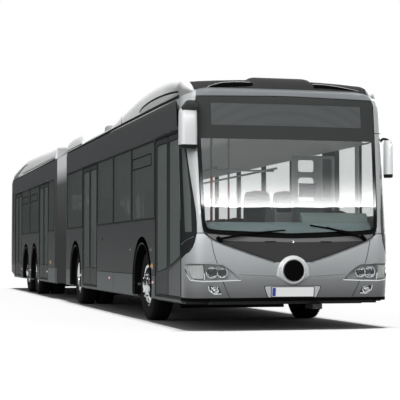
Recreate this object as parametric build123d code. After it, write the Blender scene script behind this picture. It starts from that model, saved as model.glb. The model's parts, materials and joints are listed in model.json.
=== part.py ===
from build123d import *
import math
import os

# An articulated city bus with four axles, in millimetres.
# X points forward, Y to the driver's left and Z up. The origin is on the ground, at the middle
# of the overall length and width.

# ---------- overall sizes ----------
LENGTH = 19540
HALF_WIDTH = 1275
NOSE_X = LENGTH / 2
TAIL_X = -LENGTH / 2

# ---------- axles and pivot, as distances along the bus ----------
FRONT_OVERHANG = 2705
AXLE_1_X = NOSE_X - FRONT_OVERHANG
AXLE_2_X = AXLE_1_X - 5900
AXLE_3_X = AXLE_2_X - 5990
AXLE_4_X = AXLE_3_X - 1600
PIVOT_X = AXLE_2_X - 1880
BELLOWS_HALF = 775

# ---------- heights ----------
SKIRT_Z = 320
FLOOR_BOTTOM_Z = 300
FLOOR_TOP_Z = 370
HOUSING_TOP_Z = 1080
WINDOW_Z = (1370, 2390)
DOOR_Z = (380, 2385)
SILL_Z = 1130
CANT_Z = 2720
CANT_R = 200
ROOF_Z = CANT_Z + CANT_R

# ---------- thicknesses and gaps ----------
WALL = 60
ROOF_WALL = 50
PANE = 8
PANE_INSET = 4
LEAF = 42
DOOR_GAP = 8
POST_SETBACK = 5

# ---------- tyres, rims and knuckles ----------
TYRE_R = 478
TYRE_W = 275
BEAD_R = 286.5
RIM_R = 286
RIM_W = 246
RIM_WALL = 12
WHEEL_Y = 1062.5
TWIN_PITCH = 318
KINGPIN_Y = 930
HUB_R = 130
STUB_R = 40
STUB_CLEARANCE = 1

# ---------- corner seams, where the side walls meet the nose and the tail ----------
NOSE_SEAM_X = AXLE_1_X + 2300
NOSE_UPPER_SEAM_X = AXLE_1_X + 2215
NOSE_ROOF_X = AXLE_1_X + 1950
TAIL_SEAM_X = TAIL_X + 335
TAIL_ROOF_X = TAIL_X + 450
NOSE_ARC_R = 12000
NOSE_CORNER_R = 220
TAIL_ARC_R = 20000
TAIL_CORNER_R = 160

# Outline of the nose by height: z, furthest point forward of axle 1, half width
NOSE_LEVELS = (
    (340, 2660, 1275),
    (660, 2705, 1275),
    (1120, 2695, 1275),
    (CANT_Z, 2495, 1275),
    (2800, 2470, 1258),
    (2870, 2420, 1207),
    (ROOF_Z, 2330, 1075),
)
# Outline of the tail by height: z, distance forward of the rearmost point, half width
TAIL_LEVELS = (
    (440, 20, 1275),
    (1300, 0, 1275),
    (CANT_Z, 60, 1275),
    (2800, 75, 1258),
    (2870, 110, 1207),
    (ROOF_Z, 190, 1075),
)

# Doors on the right side: name, rear edge x; each is DOOR_W wide with two leaves
DOOR_W = 1430
DOORS = (
    ("door_1", NOSE_SEAM_X - 20 - DOOR_W),
    ("door_2", AXLE_2_X + 840),
    ("door_3", AXLE_3_X + 860),
    ("door_4", AXLE_4_X - 865 - DOOR_W),
)

# Windows by side wall: x of rear edge, x of front edge
FRONT_RIGHT_WINDOWS = ((200, 1950), (3490, 4890), (4940, 6310), (6360, 7850))
FRONT_LEFT_WINDOWS = (
    (200, 1600), (1650, 3050), (3100, 4500), (4550, 5950), (6000, 7400), (7900, 9280),
)
REAR_RIGHT_WINDOWS = ((-2470, -1620), (-5620, -4020), (-7230, -5670))
REAR_LEFT_WINDOWS = ((-3100, -1620), (-4700, -3150), (-6300, -4750), (-7900, -6350))

# Wheel arches: axle x, rear half length, front half length of the housing, inner wall y
ARCH_R = 560
ARCH_CENTRE_Z = 490
HOUSINGS_FRONT = ((AXLE_1_X, 600, 720, 520), (AXLE_2_X, 600, 600, 460))
HOUSINGS_REAR = ((AXLE_3_X, 600, 600, 460), (AXLE_4_X, 600, 600, 520))
HOUSING_WALL = 25
HOUSING_GAP = 2

# Lift points under the floor: x; one pad on each side
JACK_PAD = 180
JACK_PAD_Z = 285
JACK_PAD_Y = 900
FRONT_JACKS = (AXLE_1_X - 1200, AXLE_2_X + 1000)
REAR_JACKS = (AXLE_3_X + 1000, AXLE_4_X - 1000)

# Seats: x of the cushion's middle, side of the bus, height of the cushion's top, facing
SEAT_W = 860
SEAT_OUTER_Y = 1205
FRONT_SEATS = (
    (6800, -1, 1190, 1), (5750, -1, 830, 1), (4950, -1, 830, 1), (4150, -1, 830, 1),
    (1050, -1, 1190, 1),
    (6800, 1, 1190, 1), (5750, 1, 830, 1), (4950, 1, 830, 1), (4150, 1, 830, 1),
    (3350, 1, 830, 1), (2550, 1, 830, 1), (1050, 1, 1190, 1),
)
REAR_SEATS = (
    (-4850, -1, 1190, 1), (-6450, -1, 1190, 1),
    (-2400, 1, 830, 1), (-3300, 1, 830, 1), (-4850, 1, 1190, 1), (-6450, 1, 1190, 1),
    (-7700, 1, 830, 1),
)

# Units standing on the roof: rear x, front x, half width, top z
FRONT_ROOF_UNITS = ((4650, 6300, 820, 3080), (2160, 3400, 880, 3110), (1830, 2140, 900, 3160))
REAR_ROOF_UNITS = ((-5600, -2600, 760, 3040), (-8300, -6300, 700, 3035))

# Fairings along the two edges of the roof, each an outline in x and z above its section
FRONT_HORN = (
    (AXLE_1_X - 2500, 2780), (AXLE_1_X - 2500, 2925), (AXLE_1_X - 1500, 3030),
    (AXLE_1_X - 400, 3115), (AXLE_1_X + 500, 3140), (AXLE_1_X + 1250, 3125),
    (AXLE_1_X + 1700, 3085), (AXLE_1_X + 2000, 3035), (AXLE_1_X + 2190, 2975),
    (AXLE_1_X + 2290, 2925), (AXLE_1_X + 2330, 2780),
)
FRONT_FAIRING = (
    (90, 2780), (90, 3045), (350, 3065), (1200, 3060), (1550, 3010), (1780, 2925), (1800, 2780),
)
REAR_FAIRING = (
    (-1520, 2780), (-1520, 3050), (-3500, 3090), (-5800, 3140), (-7200, 3132), (-7950, 3085),
    (-8700, 3030), (-9300, 2975), (-9480, 2925), (-9500, 2780),
)
# Half of a fairing's section, in y and z
FAIRING_SECTION = ((1262, 2770), (1262, 2950), (1228, 3040), (1150, 3105), (1040, 3150))
HORN_INNER_Y = 930
FAIRING_INNER_Y = 880
# The front of the horns, carried up to the header's height beside it
HORN_FRONT = (
    (AXLE_1_X + 1950, 2780), (AXLE_1_X + 1950, 3030), (AXLE_1_X + 2120, 3020),
    (AXLE_1_X + 2260, 2985), (AXLE_1_X + 2325, ROOF_Z), (AXLE_1_X + 2330, 2780),
)
HORN_FRONT_Y = 1070
HEADER = (
    (AXLE_1_X + 600, ROOF_Z), (AXLE_1_X + 1450, 3015), (AXLE_1_X + 2120, 3025),
    (AXLE_1_X + 2260, 2985), (AXLE_1_X + 2325, ROOF_Z),
)
HEADER_MIDDLE = (
    (AXLE_1_X + 1250, ROOF_Z), (AXLE_1_X + 1400, 3060), (AXLE_1_X + 2110, 3085),
    (AXLE_1_X + 2270, 3030), (AXLE_1_X + 2328, ROOF_Z),
)

os.makedirs("parts", exist_ok=True)


# ---------- small helpers ----------
def block(x0, x1, y0, y1, z0, z1):
    """A box from its lowest to its highest corner."""
    return Pos((x0 + x1) / 2, (y0 + y1) / 2, (z0 + z1) / 2) * Box(x1 - x0, y1 - y0, z1 - z0)


def side_block(x0, x1, side, near, far, z0, z1):
    """A box on one side of the bus, from its near to its far distance from the middle."""
    low, high = sorted((side * near, side * far))
    return block(x0, x1, low, high, z0, z1)


def disc(x, z, y0, y1, radius):
    """A cylinder whose axis runs across the bus."""
    return Pos(x, (y0 + y1) / 2, z) * Rot(90, 0, 0) * Cylinder(radius, abs(y1 - y0))


def post(x, y, z0, z1, radius):
    """An upright cylinder."""
    return Pos(x, y, (z0 + z1) / 2) * Cylinder(radius, z1 - z0)


def rod(start, end, radius):
    """A round bar between two points."""
    start, end = Vector(*start), Vector(*end)
    direction = end - start
    plane = Plane(origin=start, z_dir=direction)
    return extrude(plane * Circle(radius), amount=direction.length)


def side_prism(points, y0, y1):
    """An outline in x and z, given a thickness across the bus."""
    wire = Polyline(*[(x, 0, z) for x, z in points], close=True)
    return extrude(Pos(0, y0, 0) * make_face(wire), amount=y1 - y0, dir=(0, 1, 0))


def end_prism(points, x0, x1):
    """An outline in y and z, given a length along the bus."""
    wire = Polyline(*[(0, y, z) for y, z in points], close=True)
    return extrude(Pos(x0, 0, 0) * make_face(wire), amount=x1 - x0, dir=(1, 0, 0))


def union(shapes):
    """All the shapes in one."""
    total = shapes[0]
    for shape in shapes[1:]:
        total = total + shape
    return total


def write(name, *solids):
    """Write one node, made of one or more solids."""
    found = [solid for item in solids for solid in item.solids()]
    shape = found[0] if len(found) == 1 else Compound(children=found)
    export_step(shape, f"parts/{name}.step")


# ---------- body shell ----------
def end_outline(z, tip, half, back, arc_r, corner_r, way, inset):
    """Plan of an end of the body at one height: a shallow arc, two round corners and two sides.

    way is 1 for the nose and -1 for the tail, and inset is how far inside the skin it lies.
    """
    tip, half = tip - inset, half - inset
    arc_r, corner_r = arc_r - inset, corner_r - inset
    centre_y = half - corner_r
    arc_x = tip - arc_r
    corner_x = arc_x + math.sqrt((arc_r - corner_r) ** 2 - centre_y ** 2)
    turn = math.atan2(centre_y, corner_x - arc_x)
    join_x = arc_x + arc_r * math.cos(turn)
    join_y = arc_r * math.sin(turn)
    middle = (math.pi / 2 + turn) / 2
    mid_x = corner_x + corner_r * math.cos(middle)
    mid_y = centre_y + corner_r * math.sin(middle)

    def at(x, y):
        return (way * x, y, z)

    edges = [
        Line(at(back, -half), at(corner_x, -half)),
        ThreePointArc(at(corner_x, -half), at(mid_x, -mid_y), at(join_x, -join_y)),
        ThreePointArc(at(join_x, -join_y), at(tip, 0), at(join_x, join_y)),
        ThreePointArc(at(join_x, join_y), at(mid_x, mid_y), at(corner_x, half)),
        Line(at(corner_x, half), at(back, half)),
        Line(at(back, half), at(back, -half)),
    ]
    return make_face(Wire(edges))


def end_loft(levels, base_x, back, arc_r, corner_r, way, inset, z_low, z_high):
    """The solid inside the skin of an end, from its outlines by height."""
    middle = [level for level in levels[1:-1] if z_low < level[0] < z_high - 20]
    used = [(z_low, *levels[0][1:]), *middle, (z_high, *levels[-1][1:])]
    return loft([
        end_outline(z, base_x + tip, half, back, arc_r, corner_r, way, inset)
        for z, tip, half in used
    ], ruled=True)


def nose(inset, back=NOSE_ROOF_X, z_low=NOSE_LEVELS[0][0], z_high=ROOF_Z):
    """The solid nose with the front of the roof, inset from its skin."""
    return end_loft(
        NOSE_LEVELS, AXLE_1_X, back, NOSE_ARC_R, NOSE_CORNER_R, 1, inset, z_low, z_high
    )


def tail(inset, back=-TAIL_ROOF_X, z_low=TAIL_LEVELS[0][0], z_high=ROOF_Z):
    """The solid tail, inset from its skin."""
    levels = [(z, -step, half) for z, step, half in TAIL_LEVELS]
    return end_loft(levels, -TAIL_X, back, TAIL_ARC_R, TAIL_CORNER_R, -1, inset, z_low, z_high)


def side_wall(outline, side, doors, windows, arches):
    """A side wall with its doorways, windows and wheel arches cut."""
    low, high = sorted((side * (HALF_WIDTH - WALL), side * HALF_WIDTH))
    wall = side_prism(outline, low, high)
    for rear_x in doors:
        wall -= block(rear_x, rear_x + DOOR_W, low - 10, high + 10, *DOOR_Z)
    for rear_x, front_x in windows:
        wall -= block(rear_x, front_x, low - 10, high + 10, *WINDOW_Z)
    for x, forward in arches:
        wall -= disc(x + forward, ARCH_CENTRE_Z, low - 10, high + 10, ARCH_R)
    return wall


def side_panes(side, windows):
    """The panes of one side, flush with its skin."""
    near, far = HALF_WIDTH - PANE_INSET - PANE, HALF_WIDTH - PANE_INSET
    return [side_block(x0, x1, side, near, far, *WINDOW_Z) for x0, x1 in windows]


def roof(x0, x1):
    """A length of roof with rounded cant rails."""
    flat = HALF_WIDTH - CANT_R

    def profile(inset):
        radius = CANT_R - inset
        half = flat + radius
        diagonal = radius * math.sqrt(0.5)
        edges = [
            Line((x0, -half, CANT_Z), (x0, half, CANT_Z)),
            ThreePointArc(
                (x0, half, CANT_Z), (x0, flat + diagonal, CANT_Z + diagonal),
                (x0, flat, CANT_Z + radius),
            ),
            Line((x0, flat, CANT_Z + radius), (x0, -flat, CANT_Z + radius)),
            ThreePointArc(
                (x0, -flat, CANT_Z + radius), (x0, -flat - diagonal, CANT_Z + diagonal),
                (x0, -half, CANT_Z),
            ),
        ]
        return extrude(make_face(Wire(edges)), amount=x1 - x0, dir=(1, 0, 0))

    return profile(0) - profile(ROOF_WALL)


def fairing(outline, roof_x0, roof_x1, inner):
    """A fairing along the two edges of the roof, rounded outside and upright inside."""
    half = FAIRING_SECTION[0][0]
    edge = end_prism([*FAIRING_SECTION, (inner, 3150), (inner, 2770)], roof_x0 - 20, roof_x1 + 20)
    shape = side_prism(outline, -half - 10, half + 10) & (edge + mirror(edge, about=Plane.XZ))
    flat = HALF_WIDTH - CANT_R
    under = block(roof_x0 - 30, roof_x1 + 30, -flat, flat, 2600, ROOF_Z)
    for side in (-1, 1):
        cant = Pos(roof_x0 - 30, side * flat, CANT_Z) * Rot(0, 90, 0) * Cylinder(
            CANT_R, roof_x1 - roof_x0 + 60, align=(Align.CENTER, Align.CENTER, Align.MIN)
        )
        under += cant + side_block(roof_x0 - 30, roof_x1 + 30, side, flat, HALF_WIDTH, 2600, CANT_Z)
    return shape - under


def roof_unit(x0, x1, half, top_z):
    """A unit on the roof, bevelled along its top."""
    shape = block(x0, x1, -half, half, ROOF_Z, top_z)
    return chamfer(shape.faces().sort_by(Axis.Z)[-1].edges(), 45)


def nose_plan(z0, z1):
    """The plan of the nose's top, carried straight up and back over the roof."""
    plan = end_outline(
        z0, AXLE_1_X + 2400, 1262, FRONT_END_X - 50, NOSE_ARC_R, NOSE_CORNER_R, 1, 0
    )
    return extrude(plan, amount=z1 - z0, dir=(0, 0, 1))


def floor(x0, x1, housings):
    """A floor slab, open to the sides at each wheel."""
    half = HALF_WIDTH - WALL
    slab = block(x0, x1, -half, half, FLOOR_BOTTOM_Z, FLOOR_TOP_Z)
    for x, rear, front, inner in housings:
        for side in (-1, 1):
            slab -= side_block(
                x - rear - HOUSING_GAP, x + front + HOUSING_GAP,
                side, inner - HOUSING_GAP, half + 100, FLOOR_BOTTOM_Z - 10, FLOOR_TOP_Z + 10,
            )
    return slab


def housing(x, rear, front, inner, side):
    """The housing over one wheel: a sheet shell, open below and to the wheel."""
    half = HALF_WIDTH - WALL
    shell = side_block(x - rear, x + front, side, inner, half, FLOOR_BOTTOM_Z, HOUSING_TOP_Z)
    return shell - side_block(
        x - rear + HOUSING_WALL, x + front - HOUSING_WALL,
        side, inner + HOUSING_WALL, half + 100,
        FLOOR_BOTTOM_Z - 10, HOUSING_TOP_Z - HOUSING_WALL,
    )


def housings(rows):
    """The wheel housings of one section."""
    return [housing(*row, side) for row in rows for side in (-1, 1)]


def jack_pads(places):
    """Raised pads under the floor for a workshop lift."""
    return union([
        block(x - JACK_PAD / 2, x + JACK_PAD / 2, y - JACK_PAD / 2, y + JACK_PAD / 2,
              JACK_PAD_Z, FLOOR_BOTTOM_Z)
        for x, y in places
    ])


# ---------- running gear ----------
def tyre(x, side, centres):
    """The tyres of one wheel body."""
    made = []
    for y in centres:
        ring = Cylinder(TYRE_R, TYRE_W) - Cylinder(BEAD_R, TYRE_W + 2)
        outer = ring.edges().filter_by(GeomType.CIRCLE).sort_by(lambda edge: edge.radius)[-2:]
        ring = fillet(outer, 40)
        made.append(Pos(x, side * y, TYRE_R) * Rot(90, 0, 0) * ring)
    return made


def rim(x, side, centres, plate_y, hub_far, hub_near):
    """A rim with its plate and hub, bored from inside for the stub axle."""
    shape = None
    for y in centres:
        barrel = disc(x, TYRE_R, side * (y - RIM_W / 2), side * (y + RIM_W / 2), RIM_R)
        barrel -= disc(x, TYRE_R, side * (y - RIM_W), side * (y + RIM_W), RIM_R - RIM_WALL)
        shape = barrel if shape is None else shape + barrel
    if len(centres) > 1:
        join = disc(x, TYRE_R, side * centres[0], side * centres[-1], RIM_R - RIM_WALL + 1)
        join -= disc(
            x, TYRE_R, side * (min(centres) - 10), side * (max(centres) + 10), RIM_R - 2 * RIM_WALL
        )
        shape += join
    shape += disc(x, TYRE_R, side * (plate_y - 12), side * (plate_y + 12), RIM_R - RIM_WALL + 1)
    shape += disc(x, TYRE_R, side * hub_near, side * hub_far, HUB_R)
    bore = disc(
        x, TYRE_R, side * (hub_near - 10), side * (hub_far - 60), STUB_R + STUB_CLEARANCE
    )
    return shape - bore


def knuckle(x, side):
    """A steered knuckle: an upright on the kingpin's axis with its stub axle."""
    upright = post(x, side * KINGPIN_Y, 345, 611, 42)
    stub_near, stub_far = side * KINGPIN_Y, side * (WHEEL_Y + 90)
    return upright + disc(x, TYRE_R, stub_near, stub_far, STUB_R)


def steered_beam(x):
    """A dropped axle beam with a yoke round each knuckle."""
    beam = block(x - 60, x + 60, -700, 700, 160, 280)
    for side in (-1, 1):
        beam += side_block(x - 60, x + 60, side, 640, 740, 160, 640)
        beam += side_block(x - 45, x + 45, side, 740, KINGPIN_Y + 40, 300, 339)
        beam += side_block(x - 45, x + 45, side, 740, KINGPIN_Y + 40, 617, 656)
        beam += side_block(x - 150, x + 150, side, 250, 400, 280, FLOOR_BOTTOM_Z)
    return beam


def twin_beam(x):
    """A dropped portal beam with a fixed stub for each twin wheel."""
    beam = block(x - 90, x + 90, -560, 560, 160, 280)
    for side in (-1, 1):
        beam += side_block(x - 100, x + 100, side, 495, 590, 160, 640)
        beam += disc(x, TYRE_R, side * 590, side * 1040, STUB_R)
        beam += side_block(x - 180, x + 180, side, 250, 400, 280, FLOOR_BOTTOM_Z)
    return beam


def steered_wheel(name, x, side):
    """Tyre, rim and knuckle of one steered corner."""
    end = "left" if side > 0 else "right"
    write(f"tyre_{name}_{end}", *tyre(x, side, (WHEEL_Y,)))
    write(f"rim_{name}_{end}", rim(x, side, (WHEEL_Y,), WHEEL_Y + 130, WHEEL_Y + 185, WHEEL_Y - 20))
    write(f"knuckle_{name}_{end}", knuckle(x, side))


def twin_wheel(name, x, side):
    """Twin tyres on one rim node."""
    end = "left" if side > 0 else "right"
    centres = (WHEEL_Y, WHEEL_Y - TWIN_PITCH)
    write(f"tyre_{name}_{end}", *tyre(x, side, centres))
    write(f"rim_{name}_{end}", rim(x, side, centres, WHEEL_Y - 150, WHEEL_Y + 90, 640))


# ---------- doors ----------
LEAF_OUTER_Y = HALF_WIDTH - POST_SETBACK
LEAF_INNER_Y = LEAF_OUTER_Y - LEAF
LEAF_FRAME = 55


def door_leaf(x0, x1):
    """A framed leaf and its pane, on the right side."""
    z0, z1 = DOOR_Z[0] + DOOR_GAP, DOOR_Z[1] - DOOR_GAP
    frame = side_block(x0, x1, -1, LEAF_INNER_Y, LEAF_OUTER_Y, z0, z1)
    hole = (x0 + LEAF_FRAME, x1 - LEAF_FRAME, z0 + 2 * LEAF_FRAME, z1 - LEAF_FRAME)
    frame -= side_block(hole[0], hole[1], -1, LEAF_INNER_Y - 10, LEAF_OUTER_Y + 10, hole[2], hole[3])
    pane = side_block(
        hole[0] + 1, hole[1] - 1, -1, LEAF_OUTER_Y - 20, LEAF_OUTER_Y - 4, hole[2] + 1, hole[3] - 1
    )
    return frame, pane


def door(name, rear_x):
    """Two leaves, each turning inward about the post at its own side of the doorway."""
    middle = rear_x + DOOR_W / 2
    write(f"{name}_rear", *door_leaf(rear_x + DOOR_GAP, middle - DOOR_GAP / 2))
    write(f"{name}_front", *door_leaf(middle + DOOR_GAP / 2, rear_x + DOOR_W - DOOR_GAP))


# ---------- fittings ----------
def seat(x, side, top_z, facing):
    """A double passenger seat on its pedestal."""
    inner = SEAT_OUTER_Y - SEAT_W
    base_z = HOUSING_TOP_Z if top_z > HOUSING_TOP_Z else FLOOR_TOP_Z
    shape = side_block(x - 220, x + 220, side, inner, SEAT_OUTER_Y, top_z - 90, top_z)
    back = sorted((x - facing * 220, x - facing * 130))
    shape += side_block(*back, side, inner, SEAT_OUTER_Y, top_z - 90, top_z + 620)
    if top_z - 90 > base_z:
        shape += side_block(x - 120, x + 120, side, inner + 300, inner + 560, base_z, top_z - 90)
    return shape


RAIL_Y = 400
RAIL_Z = 2050
RAIL_R = 15
POST_R = 17
HANGER_R = 13


def rails(x0, x1, posts):
    """Two ceiling rails on cross bars, with posts that stand beside them."""
    ceiling = ROOF_Z - ROOF_WALL
    bars = [
        rod((x0, side * RAIL_Y, RAIL_Z), (x1, side * RAIL_Y, RAIL_Z), RAIL_R) for side in (-1, 1)
    ]
    post_y = RAIL_Y + RAIL_R + POST_R + 1
    bars += [post(x, side * post_y, FLOOR_TOP_Z, ceiling, POST_R) for x, side in posts]
    cross_z = RAIL_Z - RAIL_R - HANGER_R - 1
    bars += [
        rod((x, -RAIL_Y, cross_z), (x, RAIL_Y, cross_z), HANGER_R) for x in (x0 + 120, x1 - 120)
    ]
    return bars


WHEEL_POST = Vector(AXLE_1_X + 2090, 700, 1330)
WHEEL_TILT = 28
STEERING_R = 225


def steering_wheel():
    """A three-spoked steering wheel, tilted towards the driver."""
    ring = Torus(STEERING_R - 15, 15)
    hub = Pos(0, 0, -15) * Cylinder(55, 50)
    shape = ring + hub
    for turn in (90, 210, 330):
        shape += Rot(0, 0, turn) * Pos((STEERING_R - 15) / 2, 0, -8) * Box(STEERING_R - 20, 34, 14)
    return Pos(*WHEEL_POST) * Rot(0, -WHEEL_TILT, 0) * shape


def dashboard():
    """The driver's desk, its binnacle and the steering column."""
    x = AXLE_1_X
    desk = side_prism(
        ((x + 2300, 620), (x + 2540, 620), (x + 2560, 1060), (x + 2490, 1230), (x + 2440, 1290),
         (x + 2300, 1295)),
        -1040, 1090,
    )
    desk += side_prism(
        ((x + 2315, 1250), (x + 2445, 1250), (x + 2430, 1370), (x + 2390, 1410), (x + 2315, 1415)),
        190, 1080,
    )
    desk += side_prism(
        ((x + 2200, 620), (x + 2300, 620), (x + 2300, 1240), (x + 2250, 1240), (x + 2180, 1060)),
        420, 980,
    )
    column = Pos(*WHEEL_POST) * Rot(0, -WHEEL_TILT, 0) * Pos(0, 0, -42 - 200) * Cylinder(22, 400)
    return desk + column


def driver_seat():
    """The driver's sprung seat with its head rest."""
    x, y = AXLE_1_X + 1500, 700
    shape = block(x - 200, x + 200, y - 200, y + 200, 620, 900)
    shape += block(x - 230, x + 270, y - 240, y + 240, 900, 1010)
    shape += block(x - 320, x - 190, y - 230, y + 230, 920, 1620)
    shape += block(x - 330, x - 220, y - 130, y + 130, 1600, 1840)
    return shape


FOLDS = 18
FOLD_DEPTH = 60


def bellows():
    """The folding hood between the two sections, open below, with a raised crown."""
    x0, x1 = PIVOT_X - BELLOWS_HALF + 5, PIVOT_X + BELLOWS_HALF - 5
    sections = []
    for i in range(2 * FOLDS + 1):
        x = x1 - (x1 - x0) * i / (2 * FOLDS)
        deep = 0 if i % 2 else FOLD_DEPTH
        half = [
            (1240 - deep, 310), (1240 - deep, 2800 - 0.4 * deep),
            (1160 - 0.8 * deep, 2930 - 0.7 * deep), (980 - 0.4 * deep, 3010 - deep),
        ]
        points = half + [(-y, z) for y, z in reversed(half)]
        sections.append(make_face(Polyline(*[(x, y, z) for y, z in points], close=True)))
    inner = block(x0 - 10, x1 + 10, -1160, 1160, 300, 2760)
    return loft(sections, ruled=True) - inner


# ---------- front section ----------
FRONT_END_X = PIVOT_X + BELLOWS_HALF
REAR_END_X = PIVOT_X - BELLOWS_HALF
front_outline = (
    (FRONT_END_X, SKIRT_Z), (NOSE_SEAM_X, SKIRT_Z), (NOSE_SEAM_X, DOOR_Z[1]),
    (NOSE_UPPER_SEAM_X, DOOR_Z[1]), (NOSE_UPPER_SEAM_X, CANT_Z), (FRONT_END_X, CANT_Z),
)
rear_outline = (
    (REAR_END_X, SKIRT_Z), (TAIL_X + 1165, SKIRT_Z), (TAIL_SEAM_X, 430),
    (TAIL_SEAM_X, CANT_Z), (REAR_END_X, CANT_Z),
)
front_arches = ((AXLE_1_X, -20), (AXLE_2_X, 0))
rear_arches = ((AXLE_3_X, 0), (AXLE_4_X, 0))

write("front_side_right", side_wall(
    front_outline, -1, [x for _, x in DOORS[:2]], FRONT_RIGHT_WINDOWS, front_arches
))
write("front_side_left", side_wall(front_outline, 1, (), FRONT_LEFT_WINDOWS, front_arches))
write("rear_side_right", side_wall(
    rear_outline, -1, [x for _, x in DOORS[2:]], REAR_RIGHT_WINDOWS, rear_arches
))
write("rear_side_left", side_wall(rear_outline, 1, (), REAR_LEFT_WINDOWS, rear_arches))
write("front_roof", roof(FRONT_END_X, NOSE_ROOF_X))
write("rear_roof", roof(TAIL_ROOF_X, REAR_END_X))

# The front floor carries the driver's platform, the upper plate of the pivot and a tow lug.
TOW_HOLE_R = 21
TOW_Z = (240, FLOOR_BOTTOM_Z)
front_floor = floor(FRONT_END_X, NOSE_SEAM_X, HOUSINGS_FRONT)
front_floor += block(NOSE_SEAM_X, NOSE_SEAM_X + 180, -950, 950, FLOOR_BOTTOM_Z, FLOOR_TOP_Z)
front_floor += block(AXLE_1_X + 900, NOSE_SEAM_X + 180, 230, 950, FLOOR_TOP_Z, 620)
front_floor += block(PIVOT_X, FRONT_END_X + 500, -300, 300, 250, FLOOR_BOTTOM_Z)
front_floor += post(PIVOT_X, 0, 250, FLOOR_BOTTOM_Z, 500)
front_floor += post(PIVOT_X, 0, FLOOR_BOTTOM_Z, 320, 250)
front_floor += post(PIVOT_X, 0, 320, FLOOR_TOP_Z, 700)
front_floor += block(PIVOT_X + 500, FRONT_END_X, -480, 480, 320, FLOOR_TOP_Z)
front_floor += block(NOSE_SEAM_X, NOSE_SEAM_X + 270, 290, 410, *TOW_Z)
front_floor -= post(NOSE_SEAM_X + 225, 350, 200, 330, TOW_HOLE_R)
front_floor -= post(PIVOT_X, 0, 240, 312, 61)
front_floor += jack_pads([(x, side * JACK_PAD_Y) for x in FRONT_JACKS for side in (-1, 1)])
write("front_floor", front_floor, *housings(HOUSINGS_FRONT))

# The rear floor carries the lower plate and pin of the pivot and a tow lug.
rear_floor = floor(TAIL_SEAM_X, REAR_END_X, HOUSINGS_REAR)
rear_floor += block(TAIL_X + 120, TAIL_SEAM_X, -1000, 1000, FLOOR_BOTTOM_Z + 150, FLOOR_TOP_Z + 150)
rear_floor += block(TAIL_SEAM_X, TAIL_SEAM_X + 200, -1000, 1000, FLOOR_TOP_Z, FLOOR_TOP_Z + 150)
rear_floor += block(REAR_END_X - 500, PIVOT_X, -300, 300, 190, 243)
rear_floor += post(PIVOT_X, 0, 190, 243, 500)
rear_floor += block(REAR_END_X - 500, REAR_END_X - 100, -300, 300, 190, FLOOR_BOTTOM_Z)
rear_floor += post(PIVOT_X, 0, 190, 305, 60)
rear_floor += block(TAIL_X + 40, TAIL_SEAM_X, -410, -290, 380, 436)
rear_floor += block(TAIL_X + 130, TAIL_SEAM_X - 10, -410, -290, 430, FLOOR_BOTTOM_Z + 150)
rear_floor -= post(TAIL_X + 90, -350, 350, 470, TOW_HOLE_R)
rear_floor += jack_pads([(x, side * JACK_PAD_Y) for x in REAR_JACKS for side in (-1, 1)])
write("rear_floor", rear_floor, *housings(HOUSINGS_REAR))

# The nose: a lower mask, and above it the windscreen frame with its pillars and header.
SCREEN = ((-1085, 1145), (1085, 1145), (1105, 2775), (-1105, 2775))
LAMP = ((660, 590), (1330, 589), (1330, 782), (866, 775))
LAMP_X = AXLE_1_X + 2450
behind_nose = block(NOSE_ROOF_X - 50, NOSE_SEAM_X, -1400, 1400, 200, DOOR_Z[1])
behind_nose += block(NOSE_ROOF_X - 50, NOSE_UPPER_SEAM_X, -1400, 1400, 2000, CANT_Z)


def nose_shell(outer, inner):
    """The nose between two depths below its skin, in front of the side walls."""
    shell = nose(outer) - nose(inner, NOSE_ROOF_X - 10, 300, min(ROOF_Z - inner, ROOF_Z - 20))
    return shell - behind_nose


nose_skin = nose_shell(0, WALL)
screen_hole = end_prism(SCREEN, AXLE_1_X + 2350, NOSE_X + 50)
quarter_hole = side_prism(
    ((AXLE_1_X + 2335, 1150), (AXLE_1_X + 2560, 1150), (AXLE_1_X + 2400, 2430),
     (AXLE_1_X + 2335, 2430)), -1400, -1140,
)
quarter_hole += mirror(quarter_hole, about=Plane.XZ)
lamp_hole = end_prism(LAMP, LAMP_X, NOSE_X + 50)
lamp_hole += mirror(lamp_hole, about=Plane.XZ)
below_sill = block(NOSE_SEAM_X - 50, NOSE_X + 50, -1400, 1400, 300, SILL_Z)
front_mask = (nose_skin & below_sill) - lamp_hole
write("front_mask", front_mask)
write("screen_frame", nose_skin - below_sill - screen_hole - quarter_hole)
nose_glass = nose_shell(PANE_INSET, PANE_INSET + PANE)
windscreen = nose_glass & screen_hole
quarter_panes = nose_glass & quarter_hole
lamp_shell = nose_shell(2, WALL - 10)
write("headlamps", lamp_shell & lamp_hole)
write("windscreen", windscreen)
write(
    "front_glazing", quarter_panes,
    *side_panes(-1, FRONT_RIGHT_WINDOWS), *side_panes(1, FRONT_LEFT_WINDOWS),
)


# Wipers: side of the bus, pivot y and z, tip y and z
WIPERS = ((-1, 900, 1095, 60, 1170), (1, 900, 1095, 260, 1300))
wipers = []
for side, pivot_y, pivot_z, tip_y, tip_z in WIPERS:
    pivot = (AXLE_1_X + 2688, side * pivot_y, pivot_z)
    tip = (AXLE_1_X + 2698, side * tip_y, tip_z)
    wipers.append(rod(pivot, tip, 6))
write("wipers", *wipers)

# Mirrors: side, arm foot (x, y, z), head's box x, y and z
MIRRORS = (
    (-1, (2400, 1190, 2740), (2490, 2625), (1160, 1375), (2150, 2610)),
    (1, (2362, 1250, 2262), (2370, 2530), (1285, 1375), (1842, 2310)),
)
mirrors = []
for side, foot, head_x, head_y, head_z in MIRRORS:
    head = side_block(
        AXLE_1_X + head_x[0], AXLE_1_X + head_x[1], side, head_y[0], head_y[1], *head_z
    )
    reach = (AXLE_1_X + (head_x[0] + head_x[1]) / 2, side * sum(head_y) / 2, head_z[1] - 30)
    arm = rod((AXLE_1_X + foot[0], side * foot[1], foot[2]), reach, 28)
    mirrors.append((head + arm) - nose(0))
write("mirrors", *mirrors)

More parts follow.
